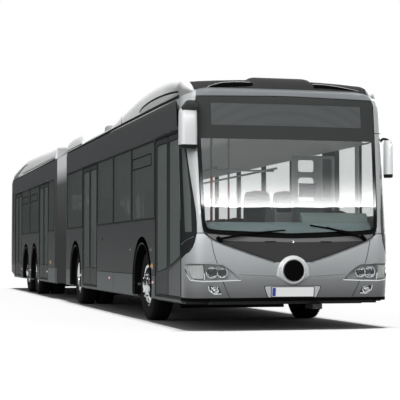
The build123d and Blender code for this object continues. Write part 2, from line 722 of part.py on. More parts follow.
write(
    "destination_signs",
    block(AXLE_1_X + 2280, AXLE_1_X + 2400, -950, 950, 2450, 2710),
    side_block(AXLE_1_X - 460, AXLE_1_X + 700, -1, 1120, 1215, 2420, 2700),
)
write("dashboard", dashboard())
write("steering_wheel", steering_wheel())
write("partition", (
    block(AXLE_1_X + 820, AXLE_1_X + 850, 230, 1210, FLOOR_TOP_Z, 2100)
    + block(AXLE_1_X + 850, AXLE_1_X + 1250, 230, 260, 620, 1500)
))
write("front_seats", driver_seat(), *[seat(*row) for row in FRONT_SEATS])
FRONT_POSTS = tuple((x, side) for x in (2150, 2950, 5350) for side in (-1, 1)) + ((7600, -1),)
write("front_rails", *rails(300, 7860, FRONT_POSTS))
horns = fairing(FRONT_HORN, FRONT_END_X, NOSE_ROOF_X + 500, HORN_INNER_Y)
for side in (-1, 1):
    horns += side_prism(HORN_FRONT, *sorted((side * (HORN_INNER_Y + 0.5), side * HORN_FRONT_Y)))
horns &= nose_plan(2785, 3200)
header = side_prism(HEADER, -HORN_INNER_Y + 5, HORN_INNER_Y - 5) + side_prism(HEADER_MIDDLE, -400, 400)
write(
    "front_roof_units", horns - nose(0), header,
    fairing(FRONT_FAIRING, FRONT_END_X, NOSE_ROOF_X, FAIRING_INNER_Y),
    *[
        roof_unit(*row)
        for row in FRONT_ROOF_UNITS
    ],
)
write("front_axle_beams", steered_beam(AXLE_1_X), twin_beam(AXLE_2_X))
write("bellows", bellows())

# ---------- rear section ----------
LAMP_COLUMN = ((1040, 720), (1200, 720), (1200, 1280), (1040, 1280))
behind_tail = block(TAIL_SEAM_X, TAIL_ROOF_X + 50, -1400, 1400, 200, CANT_Z)


def tail_shell(outer, inner):
    """The tail between two depths below its skin, behind the side walls."""
    shell = tail(outer) - tail(inner, -TAIL_ROOF_X - 10, 400, min(ROOF_Z - inner, ROOF_Z - 20))
    return shell - behind_tail


tail_skin = tail_shell(0, WALL)
rear_hole = end_prism(((-900, 1500), (900, 1500), (900, 2450), (-900, 2450)), TAIL_X - 50, TAIL_X + 200)
column_hole = end_prism(LAMP_COLUMN, TAIL_X - 50, TAIL_X + 150)
column_hole += mirror(column_hole, about=Plane.XZ)
write("rear_end", tail_skin - rear_hole - column_hole)
tail_glass = tail_shell(PANE_INSET, PANE_INSET + PANE)
write(
    "rear_glazing", tail_glass & rear_hole,
    *side_panes(-1, REAR_RIGHT_WINDOWS), *side_panes(1, REAR_LEFT_WINDOWS),
)
write("tail_lamps", tail_shell(2, WALL - 10) & column_hole)
write("engine", block(TAIL_X + 130, TAIL_X + 900, -800, 800, FLOOR_TOP_Z + 150, 1320))
bench = block(TAIL_X + 360, TAIL_X + 830, -1150, 1150, 1340, 1430)
bench += block(TAIL_X + 260, TAIL_X + 360, -1150, 1150, 1340, 2050)
write("rear_seats", bench, *[seat(*row) for row in REAR_SEATS])
REAR_POSTS = tuple((x, side) for x in (-2850, -4000, -7250) for side in (-1, 1))
write("rear_rails", *rails(-8700, -1700, REAR_POSTS))
write(
    "rear_roof_units", fairing(REAR_FAIRING, TAIL_X + 200, REAR_END_X, FAIRING_INNER_Y) - tail(0),
    *[roof_unit(*row) for row in REAR_ROOF_UNITS],
)
write("rear_axle_beams", twin_beam(AXLE_3_X), steered_beam(AXLE_4_X))

# ---------- wheels and doors ----------
for side in (-1, 1):
    steered_wheel("1", AXLE_1_X, side)
    twin_wheel("2", AXLE_2_X, side)
    twin_wheel("3", AXLE_3_X, side)
    steered_wheel("4", AXLE_4_X, side)
for name, rear_x in DOORS:
    door(name, rear_x)
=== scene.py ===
"""Articulated city bus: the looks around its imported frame. Metres, +X forward, +Y left, +Z up."""

import json
import math

import bmesh
import bpy
from bpy.props import FloatProperty, FloatVectorProperty, IntProperty, PointerProperty
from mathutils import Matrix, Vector
from mathutils.geometry import tessellate_polygon

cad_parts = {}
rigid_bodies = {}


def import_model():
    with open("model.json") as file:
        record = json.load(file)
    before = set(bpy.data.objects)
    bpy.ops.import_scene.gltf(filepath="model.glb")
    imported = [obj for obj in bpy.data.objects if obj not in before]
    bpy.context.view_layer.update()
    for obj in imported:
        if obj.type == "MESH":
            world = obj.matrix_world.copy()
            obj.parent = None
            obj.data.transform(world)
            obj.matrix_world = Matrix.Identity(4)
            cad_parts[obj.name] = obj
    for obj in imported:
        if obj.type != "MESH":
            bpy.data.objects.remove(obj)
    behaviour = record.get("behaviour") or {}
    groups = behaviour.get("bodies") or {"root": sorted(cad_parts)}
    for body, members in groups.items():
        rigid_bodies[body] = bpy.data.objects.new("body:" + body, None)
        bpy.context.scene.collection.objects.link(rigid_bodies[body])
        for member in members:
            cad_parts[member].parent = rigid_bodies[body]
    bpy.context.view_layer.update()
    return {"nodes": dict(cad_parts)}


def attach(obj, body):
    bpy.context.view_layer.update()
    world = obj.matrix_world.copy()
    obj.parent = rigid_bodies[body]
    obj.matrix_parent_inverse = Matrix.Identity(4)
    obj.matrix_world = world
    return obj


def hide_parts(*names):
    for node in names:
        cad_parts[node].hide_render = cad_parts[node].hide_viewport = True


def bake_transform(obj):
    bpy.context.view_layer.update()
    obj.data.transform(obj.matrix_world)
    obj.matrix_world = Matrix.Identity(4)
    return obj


bl_info = {
    "name": "Articulated City Bus",
    "version": (1, 0, 0),
    "blender": (4, 5, 0),
    "location": "View3D > Sidebar > City Bus",
    "description": "Builds the finished pieces of an articulated city bus around its frame",
    "category": "Add Mesh",
}

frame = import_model()

FRONT = "front_section"
REAR = "rear_section"

# ---------- places taken from the frame ----------
AXLE_1 = 7.065
AXLES = {1: AXLE_1, 2: AXLE_1 - 5.9, 3: AXLE_1 - 11.89, 4: AXLE_1 - 13.49}
HALF = 1.275
DOORS = {1: 7.915, 2: 2.005, 3: -3.965, 4: -8.720}
DOOR_WIDTH = 1.43
TYRE_R = 0.478
SKIRT_TOP = 0.622
ARCH_Z = 0.490
ARCH_SHIFT = {1: -0.02}
ROOF_EDGE_Y = 1.262
DOOR_Y = 1.270
DOOR_LOW, DOOR_HIGH = 0.390, 2.375
FLOOR_Z = 0.370
PODIUM_Z = 1.080


# ---------- colours and materials ----------
MATT = {"Roughness": 0.5, "Specular IOR Level": 0.15}


def linear(code):
    """A colour as linear RGBA: sRGB hex, or one that is linear already."""
    if not isinstance(code, str):
        return tuple(code)
    parts = [int(code[i:i + 2], 16) / 255 for i in (1, 3, 5)]
    return (*[c / 12.92 if c <= 0.04045 else ((c + 0.055) / 1.055) ** 2.4 for c in parts], 1.0)


def add_node(tree, kind, settings=None, inputs=None, links=None):
    """Add a node with its settings, its input values and its links."""
    node = tree.nodes.new(kind)
    for key, value in (settings or {}).items():
        setattr(node, key, value)
    for key, value in (inputs or {}).items():
        node.inputs[key].default_value = value
    for key, source in (links or {}).items():
        tree.links.new(source, node.inputs[key])
    return node


def empty_material(name):
    """A material whose tree is empty."""
    material = bpy.data.materials.new(name)
    material.use_nodes = True
    material.node_tree.nodes.clear()
    return material


def start_material(name, base, values):
    """A new material's tree, its Principled shader and the object's coordinates."""
    tree = empty_material(name).node_tree
    shader = add_node(
        tree, "ShaderNodeBsdfPrincipled", inputs={"Base Color": linear(base), **values},
    )
    add_node(tree, "ShaderNodeOutputMaterial", links={"Surface": shader.outputs["BSDF"]})
    return tree, shader, add_node(tree, "ShaderNodeTexCoord").outputs["Object"]


def relief(tree, shader, height, strength, depth):
    """Relief on a finish from a height, with its depth in metres."""
    bump = add_node(
        tree, "ShaderNodeBump", inputs={"Strength": strength, "Distance": depth},
        links={"Height": height},
    )
    tree.links.new(bump.outputs["Normal"], shader.inputs["Normal"])


def mottle(tree, place, scale, detail=2.0, stretch=(1.0, 1.0, 1.0)):
    """Soft clouds over the object, of a scale per metre, that may be drawn out along an axis."""
    place = add_node(
        tree, "ShaderNodeMapping", inputs={"Scale": stretch}, links={"Vector": place},
    ).outputs["Vector"]
    return add_node(
        tree, "ShaderNodeTexNoise", inputs={"Scale": scale, "Detail": detail},
        links={"Vector": place},
    ).outputs["Fac"]


def along(tree, place, axis, low, high):
    """0 to 1 over a stretch of one axis, in metres."""
    split = add_node(tree, "ShaderNodeSeparateXYZ", links={"Vector": place})
    return add_node(
        tree, "ShaderNodeMapRange", inputs={"From Min": low, "From Max": high},
        links={"Value": split.outputs[axis]},
    ).outputs["Result"]


def tone(tree, shader, factor, *stops):
    """Tones over a factor as the base colour: each stop a hex colour or a share of the own one."""
    base = shader.inputs["Base Color"]
    node = add_node(tree, "ShaderNodeValToRGB", links={"Fac": factor})
    items = node.color_ramp.elements
    while len(items) < len(stops):
        items.new(0.5)
    for item, (position, colour) in zip(items, stops):
        item.position = position
        item.color = linear(colour) if isinstance(colour, str) else (
            *[c * colour for c in base.default_value[:3]], 1,
        )
    tree.links.new(node.outputs["Color"], base)


def lay(tree, shader, share, colour):
    """Lay a colour over the base colour, as far as a share says."""
    base = shader.inputs["Base Color"]
    mix = add_node(
        tree, "ShaderNodeMix", {"data_type": "RGBA"}, {7: linear(colour)},
        {0: share, 6: base.links[0].from_socket},
    )
    tree.links.new(mix.outputs[2], base)


def peel(tree, shader, place):
    """Orange peel of sprayed paint, about 6 mm across."""
    relief(tree, shader, mottle(tree, place, 160.0), 0.03, 0.001)


def flakes(tree, shader, place, strength):
    """Metallic flake of about 3 mm, coarser than the real 0.1 mm so that it shows."""
    cells = add_node(tree, "ShaderNodeTexVoronoi", inputs={"Scale": 320.0}, links={"Vector": place})
    relief(tree, shader, cells.outputs["Distance"], strength, 0.0006)


def paint(name, base, second, rough, coat=0.6, metal=0.0, flake=0.0, level=0.5):
    """Sprayed body paint: faint clouding, orange peel and, where asked, metallic flake."""
    tree, shader, place = start_material(
        name, base,
        {
            "Roughness": rough, "Coat Weight": coat, "Coat Roughness": 0.06, "Metallic": metal,
            "Specular IOR Level": level,
        },
    )
    tone(tree, shader, mottle(tree, place, 1.1, 3.0), (0.0, 1.0), (1.0, second))
    if flake:
        flakes(tree, shader, place, flake)
    else:
        peel(tree, shader, place)


def body_paint_and_top_light(colours):
    """Polyester side paint: charcoal with painted light from above, lighter towards the roof, and
    lighter skirt panels below 0.62 m.
    """
    tree, shader, place = start_material("side_paint_charcoal", colours.sides, MATT)
    # Painted light from above: the tone rises from 0.67 to 1.27 of the charcoal between 0.6 m and 3
    # m, with faint clouds
    height = add_node(
        tree, "ShaderNodeMath", {"operation": "MULTIPLY_ADD"}, {1: 0.06},
        {0: mottle(tree, place, 0.8, 3.0), 2: along(tree, place, "Z", 0.6, 3.0)},
    )
    tone(
        tree, shader, height.outputs[0], (0.0, 0.672), (0.25, 0.742), (0.7, 1.0),
        (1.0, 1.271),
    )
    lay(tree, shader, along(tree, place, "Z", 0.622, 0.618), colours.skirt)
    peel(tree, shader, place)


def roof_paint(colours):
    """Roof enamel: pale grey above, and the charcoal of the sides down its outer edges."""
    tree, shader, place = start_material(
        "roof_enamel_grey", colours.roof, {"Roughness": 0.5, "Specular IOR Level": 0.2},
    )
    tone(tree, shader, mottle(tree, place, 1.1, 3.0), (0.0, 1.0), (1.0, 0.901))
    across = add_node(tree, "ShaderNodeSeparateXYZ", links={"Vector": place}).outputs["Y"]
    reach = add_node(tree, "ShaderNodeMath", {"operation": "ABSOLUTE"}, links={0: across})
    outer = add_node(
        tree, "ShaderNodeMath", {"operation": "GREATER_THAN"}, {1: 1.19}, {0: reach.outputs[0]},
    )
    edge = add_node(
        tree, "ShaderNodeMath", {"operation": "MULTIPLY"},
        links={0: along(tree, place, "Z", 2.806, 2.802), 1: outer.outputs[0]},
    )
    lay(tree, shader, edge.outputs[0], "#4b4d4d")
    peel(tree, shader, place)


def nose_paint_and_shade(name, base, stops, metal):
    """Silver basecoat on the nose with painted shade: its tone falls from the windscreen to the
    lip, as under light from above.
    """
    tree, shader, place = start_material(
        name, base,
        {"Roughness": 0.38, "Coat Weight": 0.2, "Coat Roughness": 0.06, "Metallic": metal},
    )
    clouds = add_node(
        tree, "ShaderNodeMath", {"operation": "MULTIPLY_ADD"}, {1: 0.04, 2: -0.02},
        {0: mottle(tree, place, 1.1, 3.0)},
    )
    # Painted shade by height: 0 at 0.3 m, 1 at 1.3 m, with faint clouds
    level = add_node(
        tree, "ShaderNodeMath", {"operation": "ADD"},
        links={0: along(tree, place, "Z", 0.3, 1.3), 1: clouds.outputs[0]},
    )
    tone(tree, shader, level.outputs[0], *stops)
    flakes(tree, shader, place, 0.04)


def horn_paint_and_light(colours):
    """White lacquer of the roof fairings with painted shade and light: grey towards the horns'
    fronts, near white on faces that look up, and grey at the rear end.
    """
    tree, shader, place = start_material(
        "horn_paint_white", colours.fairings,
        {"Roughness": 0.35, "Coat Weight": 0.12, "Coat Roughness": 0.08},
    )
    # Painted shade: the lacquer darkens towards the horns' fronts, to a fifth of its tone
    tone(
        tree, shader, along(tree, place, "X", 7.0, 9.45), (0.0, 1.0), (0.5, 0.918),
        (0.8, 0.463), (1.0, 0.21),
    )
    # Painted light: faces that look up are laid near white
    normal = add_node(tree, "ShaderNodeNewGeometry").outputs["Normal"]
    up = add_node(tree, "ShaderNodeSeparateXYZ", links={"Vector": normal}).outputs["Z"]
    facing = add_node(
        tree, "ShaderNodeMapRange", inputs={"From Min": 0.25, "From Max": 0.75}, links={"Value": up}
    )
    lay(tree, shader, facing.outputs["Result"], "#eff0f0")
    lay(tree, shader, along(tree, place, "X", -7.95, -8.25), "#85888a")
    peel(tree, shader, place)


def rail_coating(colours):
    """Powder-coated handrails: dark red, and grey above the windows' middles."""
    tree, shader, place = start_material(
        "handrail_coating_red", colours.handrails, {"Roughness": 0.35},
    )
    tone(
        tree, shader, along(tree, place, "Z", 1.5, 2.5), (0.0, 1.0), (0.44, 0.9),
        (0.46, "#868c8d"), (1.0, "#8f9596"),
    )
    relief(tree, shader, mottle(tree, place, 200.0, 1.0), 0.05, 0.0006)


def door_paint(colours):
    """Door leaves: charcoal, and lighter below a line that sweeps up towards the nose."""
    tree, shader, place = start_material("door_enamel_grey", colours.doors, MATT)
    curve = add_node(
        tree, "ShaderNodeMath", {"operation": "POWER"}, {1: 1.5},
        {0: along(tree, place, "X", 8.05, 9.35)},
    )
    line = add_node(
        tree, "ShaderNodeMapRange", inputs={"To Min": 0.622, "To Max": 0.845},
        links={"Value": curve.outputs[0]},
    )
    height = add_node(tree, "ShaderNodeSeparateXYZ", links={"Vector": place}).outputs["Z"]
    above = add_node(
        tree, "ShaderNodeMath", {"operation": "GREATER_THAN"},
        links={0: height, 1: line.outputs["Result"]},
    )
    tone(
        tree, shader, along(tree, place, "X", 7.9, 9.35), (0.0, 0.757), (0.45, 0.872),
        (0.55, 2.255), (1.0, 2.639),
    )
    lay(tree, shader, above.outputs[0], colours.doors)
    peel(tree, shader, place)


def glass(name, base, alpha, rough=0.02, level=0.5):
    """Float glass in a tint, let through by its alpha."""
    start_material(
        name, base, {"Roughness": rough, "Alpha": alpha, "Specular IOR Level": level, "IOR": 1.52},
    )


def frit_enamel():
    """Black enamel fired on the edge of the windscreen; charcoal in the wide band above."""
    tree, shader, place = start_material(
        "screen_frit_black", "#414242", {"Roughness": 0.03, "IOR": 1.5},
    )
    tone(
        tree, shader, along(tree, place, "Z", 1.0, 3.0), (0.0, "#0d0e0e"), (0.15, "#121313"),
        (0.55, "#262727"), (0.64, "#414242"),
    )


def side_glass(colours):
    """Tinted side glass: dark on the door side, paler on the driver's side."""
    tree, shader, place = start_material(
        "side_glass_tinted", colours.glass,
        {"Roughness": 0.03, "Specular IOR Level": 0.3, "IOR": 1.52},
    )
    side = along(tree, place, "Y", -0.5, 0.5)
    tone(tree, shader, side, (0.0, 1.0), (0.45, 1.0), (0.55, "#a9bdb9"), (1.0, "#a9bdb9"))
    clear = add_node(
        tree, "ShaderNodeMapRange", links={"Value": side},
        inputs={"From Min": 0.45, "From Max": 0.55, "To Min": 0.80, "To Max": 0.22},
    )
    tree.links.new(clear.outputs["Result"], shader.inputs["Alpha"])


def rubber(name, base, second, rough, scale):
    """Moulded rubber: matt black with a fine grain and a slight bloom."""
    tree, shader, place = start_material(
        name, base, {"Roughness": rough, "Specular IOR Level": 0.1},
    )
    grain = mottle(tree, place, scale, 4.0)
    tone(tree, shader, grain, (0.0, 1.0), (1.0, second))
    relief(tree, shader, grain, 0.25, 0.0008)


def plastic(name, base, second, rough, scale=400.0, bump=0.15, level=0.5):
    """Moulded plastic with a fine spark-eroded grain."""
    tree, shader, place = start_material(
        name, base, {"Roughness": rough, "Specular IOR Level": level},
    )
    tone(tree, shader, mottle(tree, place, 3.0), (0.0, 1.0), (1.0, second))
    relief(tree, shader, mottle(tree, place, scale, 1.0), bump, 0.0006)


def metal(name, base, second, rough, scale=60.0, stretch=(1.0, 1.0, 1.0)):
    """Bare or plated metal with slight unevenness in its polish."""
    tree, shader, place = start_material(name, base, {"Metallic": 1.0, "Roughness": rough})
    wear = mottle(tree, place, scale, 3.0, stretch)
    tone(tree, shader, wear, (0.0, 1.0), (1.0, second))
    relief(tree, shader, wear, 0.04, 0.0006)


def cloth(name, base, second, pitch):
    """Woven or coated cloth: crossing threads at a pitch in metres."""
    tree, shader, place = start_material(
        name, base, {"Roughness": 0.85, "Sheen Weight": 0.3, "Specular IOR Level": 0.25}
    )
    tone(tree, shader, mottle(tree, place, 1 / (6 * pitch), 3.0), (0.0, 1.0), (1.0, second))
    threads = []
    for turn in ((0.0, 0.0, 0.785), (0.785, 0.0, 0.0)):
        turned = add_node(
            tree, "ShaderNodeMapping", inputs={"Rotation": turn}, links={"Vector": place},
        )
        threads.append(add_node(
            tree, "ShaderNodeTexWave", inputs={"Scale": 0.32 / pitch, "Distortion": 0.3},
            links={"Vector": turned.outputs["Vector"]},
        ).outputs["Fac"])
    both = add_node(
        tree, "ShaderNodeMath", {"operation": "ADD"}, links={0: threads[0], 1: threads[1]},
    )
    relief(tree, shader, both.outputs[0], 0.3, pitch * 0.3)


def lens(name, base, second, pitch):
    """Moulded lamp lens with upright flutes at a pitch in metres."""
    tree, shader, place = start_material(
        name, base, {"Roughness": 0.12, "Coat Weight": 0.5, "IOR": 1.58},
    )
    wave = add_node(
        tree, "ShaderNodeTexWave", {"wave_type": "BANDS", "bands_direction": "Y"},
        {"Scale": 0.32 / pitch}, {"Vector": place},
    ).outputs["Fac"]
    tone(tree, shader, wave, (0.0, 1.0), (1.0, second))
    relief(tree, shader, wave, 0.3, pitch * 0.2)


def dot_matrix():
    """A blank display: dark panel with rows of unlit dots 18 mm apart."""
    tree, shader, place = start_material(
        "display_matrix", "#4e5152", {"Roughness": 0.5, "Specular IOR Level": 0.2},
    )
    grid = add_node(
        tree, "ShaderNodeTexVoronoi", {"distance": "CHEBYCHEV"}, {"Scale": 55.0, "Randomness": 0.0},
        {"Vector": place},
    ).outputs["Distance"]
    tone(tree, shader, grid, (0.0, "#5a5d5c"), (0.28, "#565958"), (0.34, 1.0), (1.0, 1.0))


def bellows_cloth(colours):
    """Coated bellows cloth: pale grey crown that darkens to charcoal down the sides."""
    tree, shader, place = start_material(
        "bellows_cloth", colours.bellows, {"Roughness": 0.55, "Specular IOR Level": 0.3}
    )
    tone(
        tree, shader, along(tree, place, "Z", 0.3, 3.0), (0.0, 0.349), (0.33, 0.383),
        (0.726, 1.0), (0.845, "#b2b4b5"), (0.915, "#b6b8b9"), (0.945, "#7a7c7d"),
    )
    relief(tree, shader, mottle(tree, place, 700.0, 1.0), 0.2, 0.0006)


def speckled_floor():
    """Vinyl safety floor with light grit of about 4 mm; black below 0.367 m, enamel on its
    underside and painted shade under the bus.
    """
    tree, shader, place = start_material("vinyl_floor", "#3f4447", {"Roughness": 0.65})
    grit = mottle(tree, place, 220.0, 1.0)
    tone(tree, shader, grit, (0.0, "#34383a"), (0.6, 1.0), (0.68, "#6d7374"), (1.0, "#787d7e"))
    # Black on the underside: enamel, and also painted shade under the bus
    lay(tree, shader, along(tree, place, "Z", 0.368, 0.366), "#131414")
    relief(tree, shader, grit, 0.2, 0.0008)


# Each row is a finish: its name, its colour, its second tone as a share of that colour, and
# its gloss
PAINTS = (
    # Satin metallic grey of the bumpers: soft light, no mirror image
    ("bumper_paint_grey", "#b9bcbe", 0.907, 0.4, 0.2, 0.1, 0.05),
    # Satin greys of the roof's edges, louvred panels and units: even, and dull beside the lacquer
    ("fairing_paint_grey", "#b9bcbe", 0.907, 0.4, 0.4),
    ("grille_paint_grey", "#c4c7c8", 0.891, 0.55, 0.1),
    ("louvre_paint_dark", "#6f7273", 0.891, 0.5, 0.0, 0.0, 0.0, 0.2),
    ("roof_paint_grey", "#9fa2a4", 0.894, 0.5, 0.2),
    # Matt greys of the cab's hood and of the cowl: near black, and they take no reflection
    ("hood_paint_dark", "#414141", 0.883, 0.6, 0.0, 0.0, 0.0, 0.03),
    ("hood_paint_black", "#3c3c3c", 0.905, 0.5, 0.0, 0.0, 0.0, 0.10),
    ("hood_paint_grey", "#757575", 0.911, 0.5, 0.0, 0.0, 0.0, 0.12),
    # Silver basecoat over the windscreen, laid darker as painted shade, for facing level
    ("header_paint_silver", "#7c8082", 0.885, 0.45, 0.05, 0.0, 0.04, 0.4),
)
PLASTICS = (
    # Black and grey ABS outside: dull, with a grain that only shows close by
    ("trim_plastic_black", "#191a1a", 1.475, 0.45, 400.0, 0.15, 0.12),
    ("arch_plastic_grey", "#2c2d2e", 0.808, 0.55, 400.0, 0.15, 0.15),
    ("arch_liner_black", "#050505", 1.6, 0.9, 400.0, 0.15, 0.04),
    # Soft-touch mouldings of the cab and laminate of the ceilings: they take a broad, dim light
    ("dash_plastic_dark", "#697875", 0.813, 0.6),
    ("ceiling_laminate", "#a9abab", 0.924, 0.7),
    ("panel_plastic_grey", "#8d9493", 0.885, 0.55),
    ("seat_shell_plastic", "#3b4041", 0.774, 0.5),
    ("lamp_bezel_grey", "#a2a5a7", 0.871, 0.3, 300.0, 0.05),
    # Enamel and sand casting under the floor: rough, with a grain of a few millimetres
    ("chassis_enamel_black", "#1a1b1b", 1.537, 0.6, 80.0, 0.3, 0.1),
    ("cast_iron_painted", "#3c4042", 0.77, 0.7, 120.0, 0.5),
    # Embossed plate sheet: smooth, with a slight shine
    ("plate_sheet_white", "#f0f1f1", 0.944, 0.35, 900.0, 0.05),
    ("plate_sheet_blue", "#1f3f94", 0.809, 0.35, 900.0, 0.05),
)
METALS = (
    # Chrome plate, vacuum plating and silvering: clear mirror images
    ("chrome_plate", "#d9dcde", 0.9, 0.08),
    ("lamp_reflector", "#e4e6e7", 0.839, 0.12, 30.0),
    ("mirror_silvering", "#e6e8e9", 0.942, 0.02, 5.0),
    # Steel brushed along its length: the image is drawn out
    ("brushed_steel", "#b4b7b9", 0.816, 0.35, 120.0, (1.0, 1.0, 12.0)),
)
LENSES = (
    # Moulded polycarbonate: deep colour with bright flutes
    ("indicator_lens_clear", "#b9bdbb", 0.572, 0.014),
    ("amber_lens", "#c98a2b", "#b87718", 0.008),
    ("orange_reflector", "#c4532b", "#a84420", 0.006),
    ("red_lens", "#9c1c1c", "#7f1414", 0.012),
)
# Painted shade of the nose: share of the way up from 0.3 m to 1.3 m, and share of the silver
NOSE_PAINTED_SHADE = (
    (0.0, 0.135), (0.06, 0.172), (0.15, 0.258), (0.28, 0.426),
    (0.36, 0.631), (0.50, 0.792), (0.70, 1.0), (0.85, 1.155),
)


def make_materials():
    """Every finish of the bus, by name."""
    colours = bpy.context.scene.bus_colours
    for made, rows in ((paint, PAINTS), (plastic, PLASTICS), (metal, METALS), (lens, LENSES)):
        for row in rows:
            made(*row)
    for made in (
        body_paint_and_top_light, roof_paint, horn_paint_and_light, rail_coating, door_paint, side_glass, bellows_cloth,
    ):
        made(colours)
    # Metallic basecoat under clear lacquer with painted shade: bright at the top, grey towards the
    # bottom
    nose_paint_and_shade("nose_paint_silver", colours.nose, NOSE_PAINTED_SHADE, 0.15)
    # The badge's silver, with painted shade that darkens towards its bottom
    nose_paint_and_shade(
        "badge_lacquer_silver", "#e0e2e2", ((0.0, "#aaadaf"), (0.35, "#b6b9bb"), (0.55, 1.0)), 0.1,
    )
    # Gloss lacquer of the pillars and mirrors: it keeps a soft image of the surroundings; the
    # pillars' white is laid light grey, painted shade for their sideways faces
    paint("fairing_paint_white", colours.pillars, 0.929, 0.28, 0.5)
    paint("mirror_paint_white", colours.mirrors, 0.933, 0.3, 0.5)
    # Laminated windscreen glass, faintly green, that bends the light a little
    start_material(
        "windscreen_glass", "#f6f9f8", {"Roughness": 0.0, "Transmission Weight": 1.0, "IOR": 1.5},
    )
    # Tinted door panes, smoked corner panes and the polycarbonate of the lamp covers
    glass("door_glass_tinted", colours.door_glass, 0.84, 0.03, 0.3)
    glass("smoked_glass", "#2b2d2e", 0.92, 0.06, 0.3)
    glass("lamp_cover_clear", "#dfe6e8", 0.04, 0.02, 0.2)
    # Seals with a fine grain, and tyres with a coarser one: both stay black in full light
    rubber("seal_rubber", "#161717", 1.69, 0.6, 500.0)
    rubber("tyre_rubber", colours.tyres, 1.593, 0.85, 300.0)
    # The desk's padded skin, the seats' weave and the rims' polish
    plastic("dash_plastic_teal", colours.dashboard, 0.818, 0.6)
    cloth("seat_moquette", colours.seats, 1.511, 0.004)
    metal("wheel_polished", colours.rims, 0.785, 0.22, 90.0)
    frit_enamel()
    speckled_floor()
    dot_matrix()


def finish_piece(name, bm, material, body, replaces=(), sharp=35.0):
    """Turn a mesh in the making into a piece that rides on a body.
    """
    piece = add_object(name, bm, material, sharp)
    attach(piece, body)
    if replaces:
        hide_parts(*replaces)
    return piece


def add_object(name, bm, material, sharp):
    """An object from a mesh in the making, with its finishes and its sharp edges."""
    mesh = bpy.data.meshes.new(name)
    bm.to_mesh(mesh)
    bm.free()
    for item in material if isinstance(material, list) else [material]:
        mesh.materials.append(bpy.data.materials[item])
    mesh.shade_smooth()
    mesh.set_sharp_from_angle(angle=math.radians(sharp))
    piece = bpy.data.objects.new(name, mesh)
    bpy.context.scene.collection.objects.link(piece)
    return piece


def absorb(bm, other):
    """Add one mesh in the making to another, and free it."""
    mesh = bpy.data.meshes.new("part")
    other.to_mesh(mesh)
    other.free()
    bm.from_mesh(mesh)
    bpy.data.meshes.remove(mesh)


def set_slot(faces, slot):
    """Give faces a material slot."""
    for face in faces:
        face.material_index = slot


def add_block(bm, low, high, bevel=0.0, slot=0):
    """A bevelled block between two corners."""
    xs, ys, zs = [sorted(pair) for pair in zip(low, high)]
    verts = [bm.verts.new((x, y, z)) for x in xs for y in ys for z in zs]
    quads = ((0, 1, 3, 2), (4, 6, 7, 5), (0, 4, 5, 1), (2, 3, 7, 6), (0, 2, 6, 4), (1, 5, 7, 3))
    faces = [bm.faces.new([verts[i] for i in quad]) for quad in quads]
    set_slot(faces, slot)
    if bevel:
        edges = list({edge for face in faces for edge in face.edges})
        made = bmesh.ops.bevel(
            bm, geom=edges, offset=bevel, segments=2, profile=0.6, affect="EDGES",
        )
        set_slot(made["faces"], slot)


def add_loft(bm, rings, slot=0, caps=True, wrap=False):
    """Quads between rings of points, with flat caps, or wrapped from the last ring to the first."""
    rows = [[bm.verts.new(p) for p in ring] for ring in rings]
    count = len(rows[0])
    made = []
    for first, second in zip(rows, rows[1:] + rows[:1] if wrap else rows[1:]):
        for i in range(count):
            j = (i + 1) % count
            made.append(bm.faces.new((first[i], first[j], second[j], second[i])))
    if caps:
        made.append(bm.faces.new(list(reversed(rows[0]))))
        made.append(bm.faces.new(rows[-1]))
    set_slot(made, slot)
    bmesh.ops.recalc_face_normals(bm, faces=made)
    return made


def add_lathe(bm, centre, axis, profile, count=48, slot=0, closed=False):
    """A profile of (distance along the axis, radius), turned round the axis."""
    axis, centre = Vector(axis).normalized(), Vector(centre)
    side = axis.orthogonal().normalized()
    up = axis.cross(side)
    turns = [2 * math.pi * i / count for i in range(count)]
    rings = [
        [
            centre + axis * offset + (
                side * math.cos(turn) + up * math.sin(turn)
            ) * max(radius, 1e-5)
            for turn in turns
        ]
        for offset, radius in profile
    ]
    made = add_loft(bm, rings, slot, caps=False, wrap=closed)
    # The tiny ring at a pole becomes one point
    bmesh.ops.remove_doubles(
        bm, verts=list({vert for face in made for vert in face.verts}), dist=1e-4,
    )
    bmesh.ops.recalc_face_normals(bm, faces=[face for face in made if face.is_valid])


def add_sweep(bm, path, radius, sides=8, slot=0, flat=1.0, up=(0, 0, 1)):
    """A round or flattened bar along a path of points."""
    path = [Vector(p) for p in path]
    rings = []
    for i, point in enumerate(path):
        ahead = (path[min(i + 1, len(path) - 1)] - path[max(i - 1, 0)]).normalized()
        side = ahead.cross(Vector(up))
        if side.length < 1e-4:
            side = ahead.cross(Vector((1, 0, 0)))
        side.normalize()
        other = side.cross(ahead)
        turns = [2 * math.pi * k / sides for k in range(sides)]
        rings.append(
            [
                point + side * radius * math.cos(t) + other * radius * flat * math.sin(t)
                for t in turns
            ]
        )
    return add_loft(bm, rings, slot)


def rect(x0, x1, z0, z1):
    """A rectangle's corners."""
    return [(x0, z0), (x1, z0), (x1, z1), (x0, z1)]


def rounded(points, radius, steps=5):
    """A polygon with its corners rounded; radius is one number or one for each corner."""
    radii = radius if isinstance(radius, (list, tuple)) else [radius] * len(points)
    made = []
    count = len(points)
    for i, (point, r) in enumerate(zip(points, radii)):
        p = Vector(point)
        a = Vector(points[i - 1]) - p
        b = Vector(points[(i + 1) % count]) - p
        if r <= 0:
            made.append(tuple(p))
            continue
        half = a.angle(b) / 2
        cut = min(r / math.tan(half), a.length * 0.49, b.length * 0.49)
        start, end = p + a.normalized() * cut, p + b.normalized() * cut
        for k in range(steps + 1):
            t = k / steps
            made.append(tuple(start * (1 - t) ** 2 + p * 2 * t * (1 - t) + end * t ** 2))
    return made


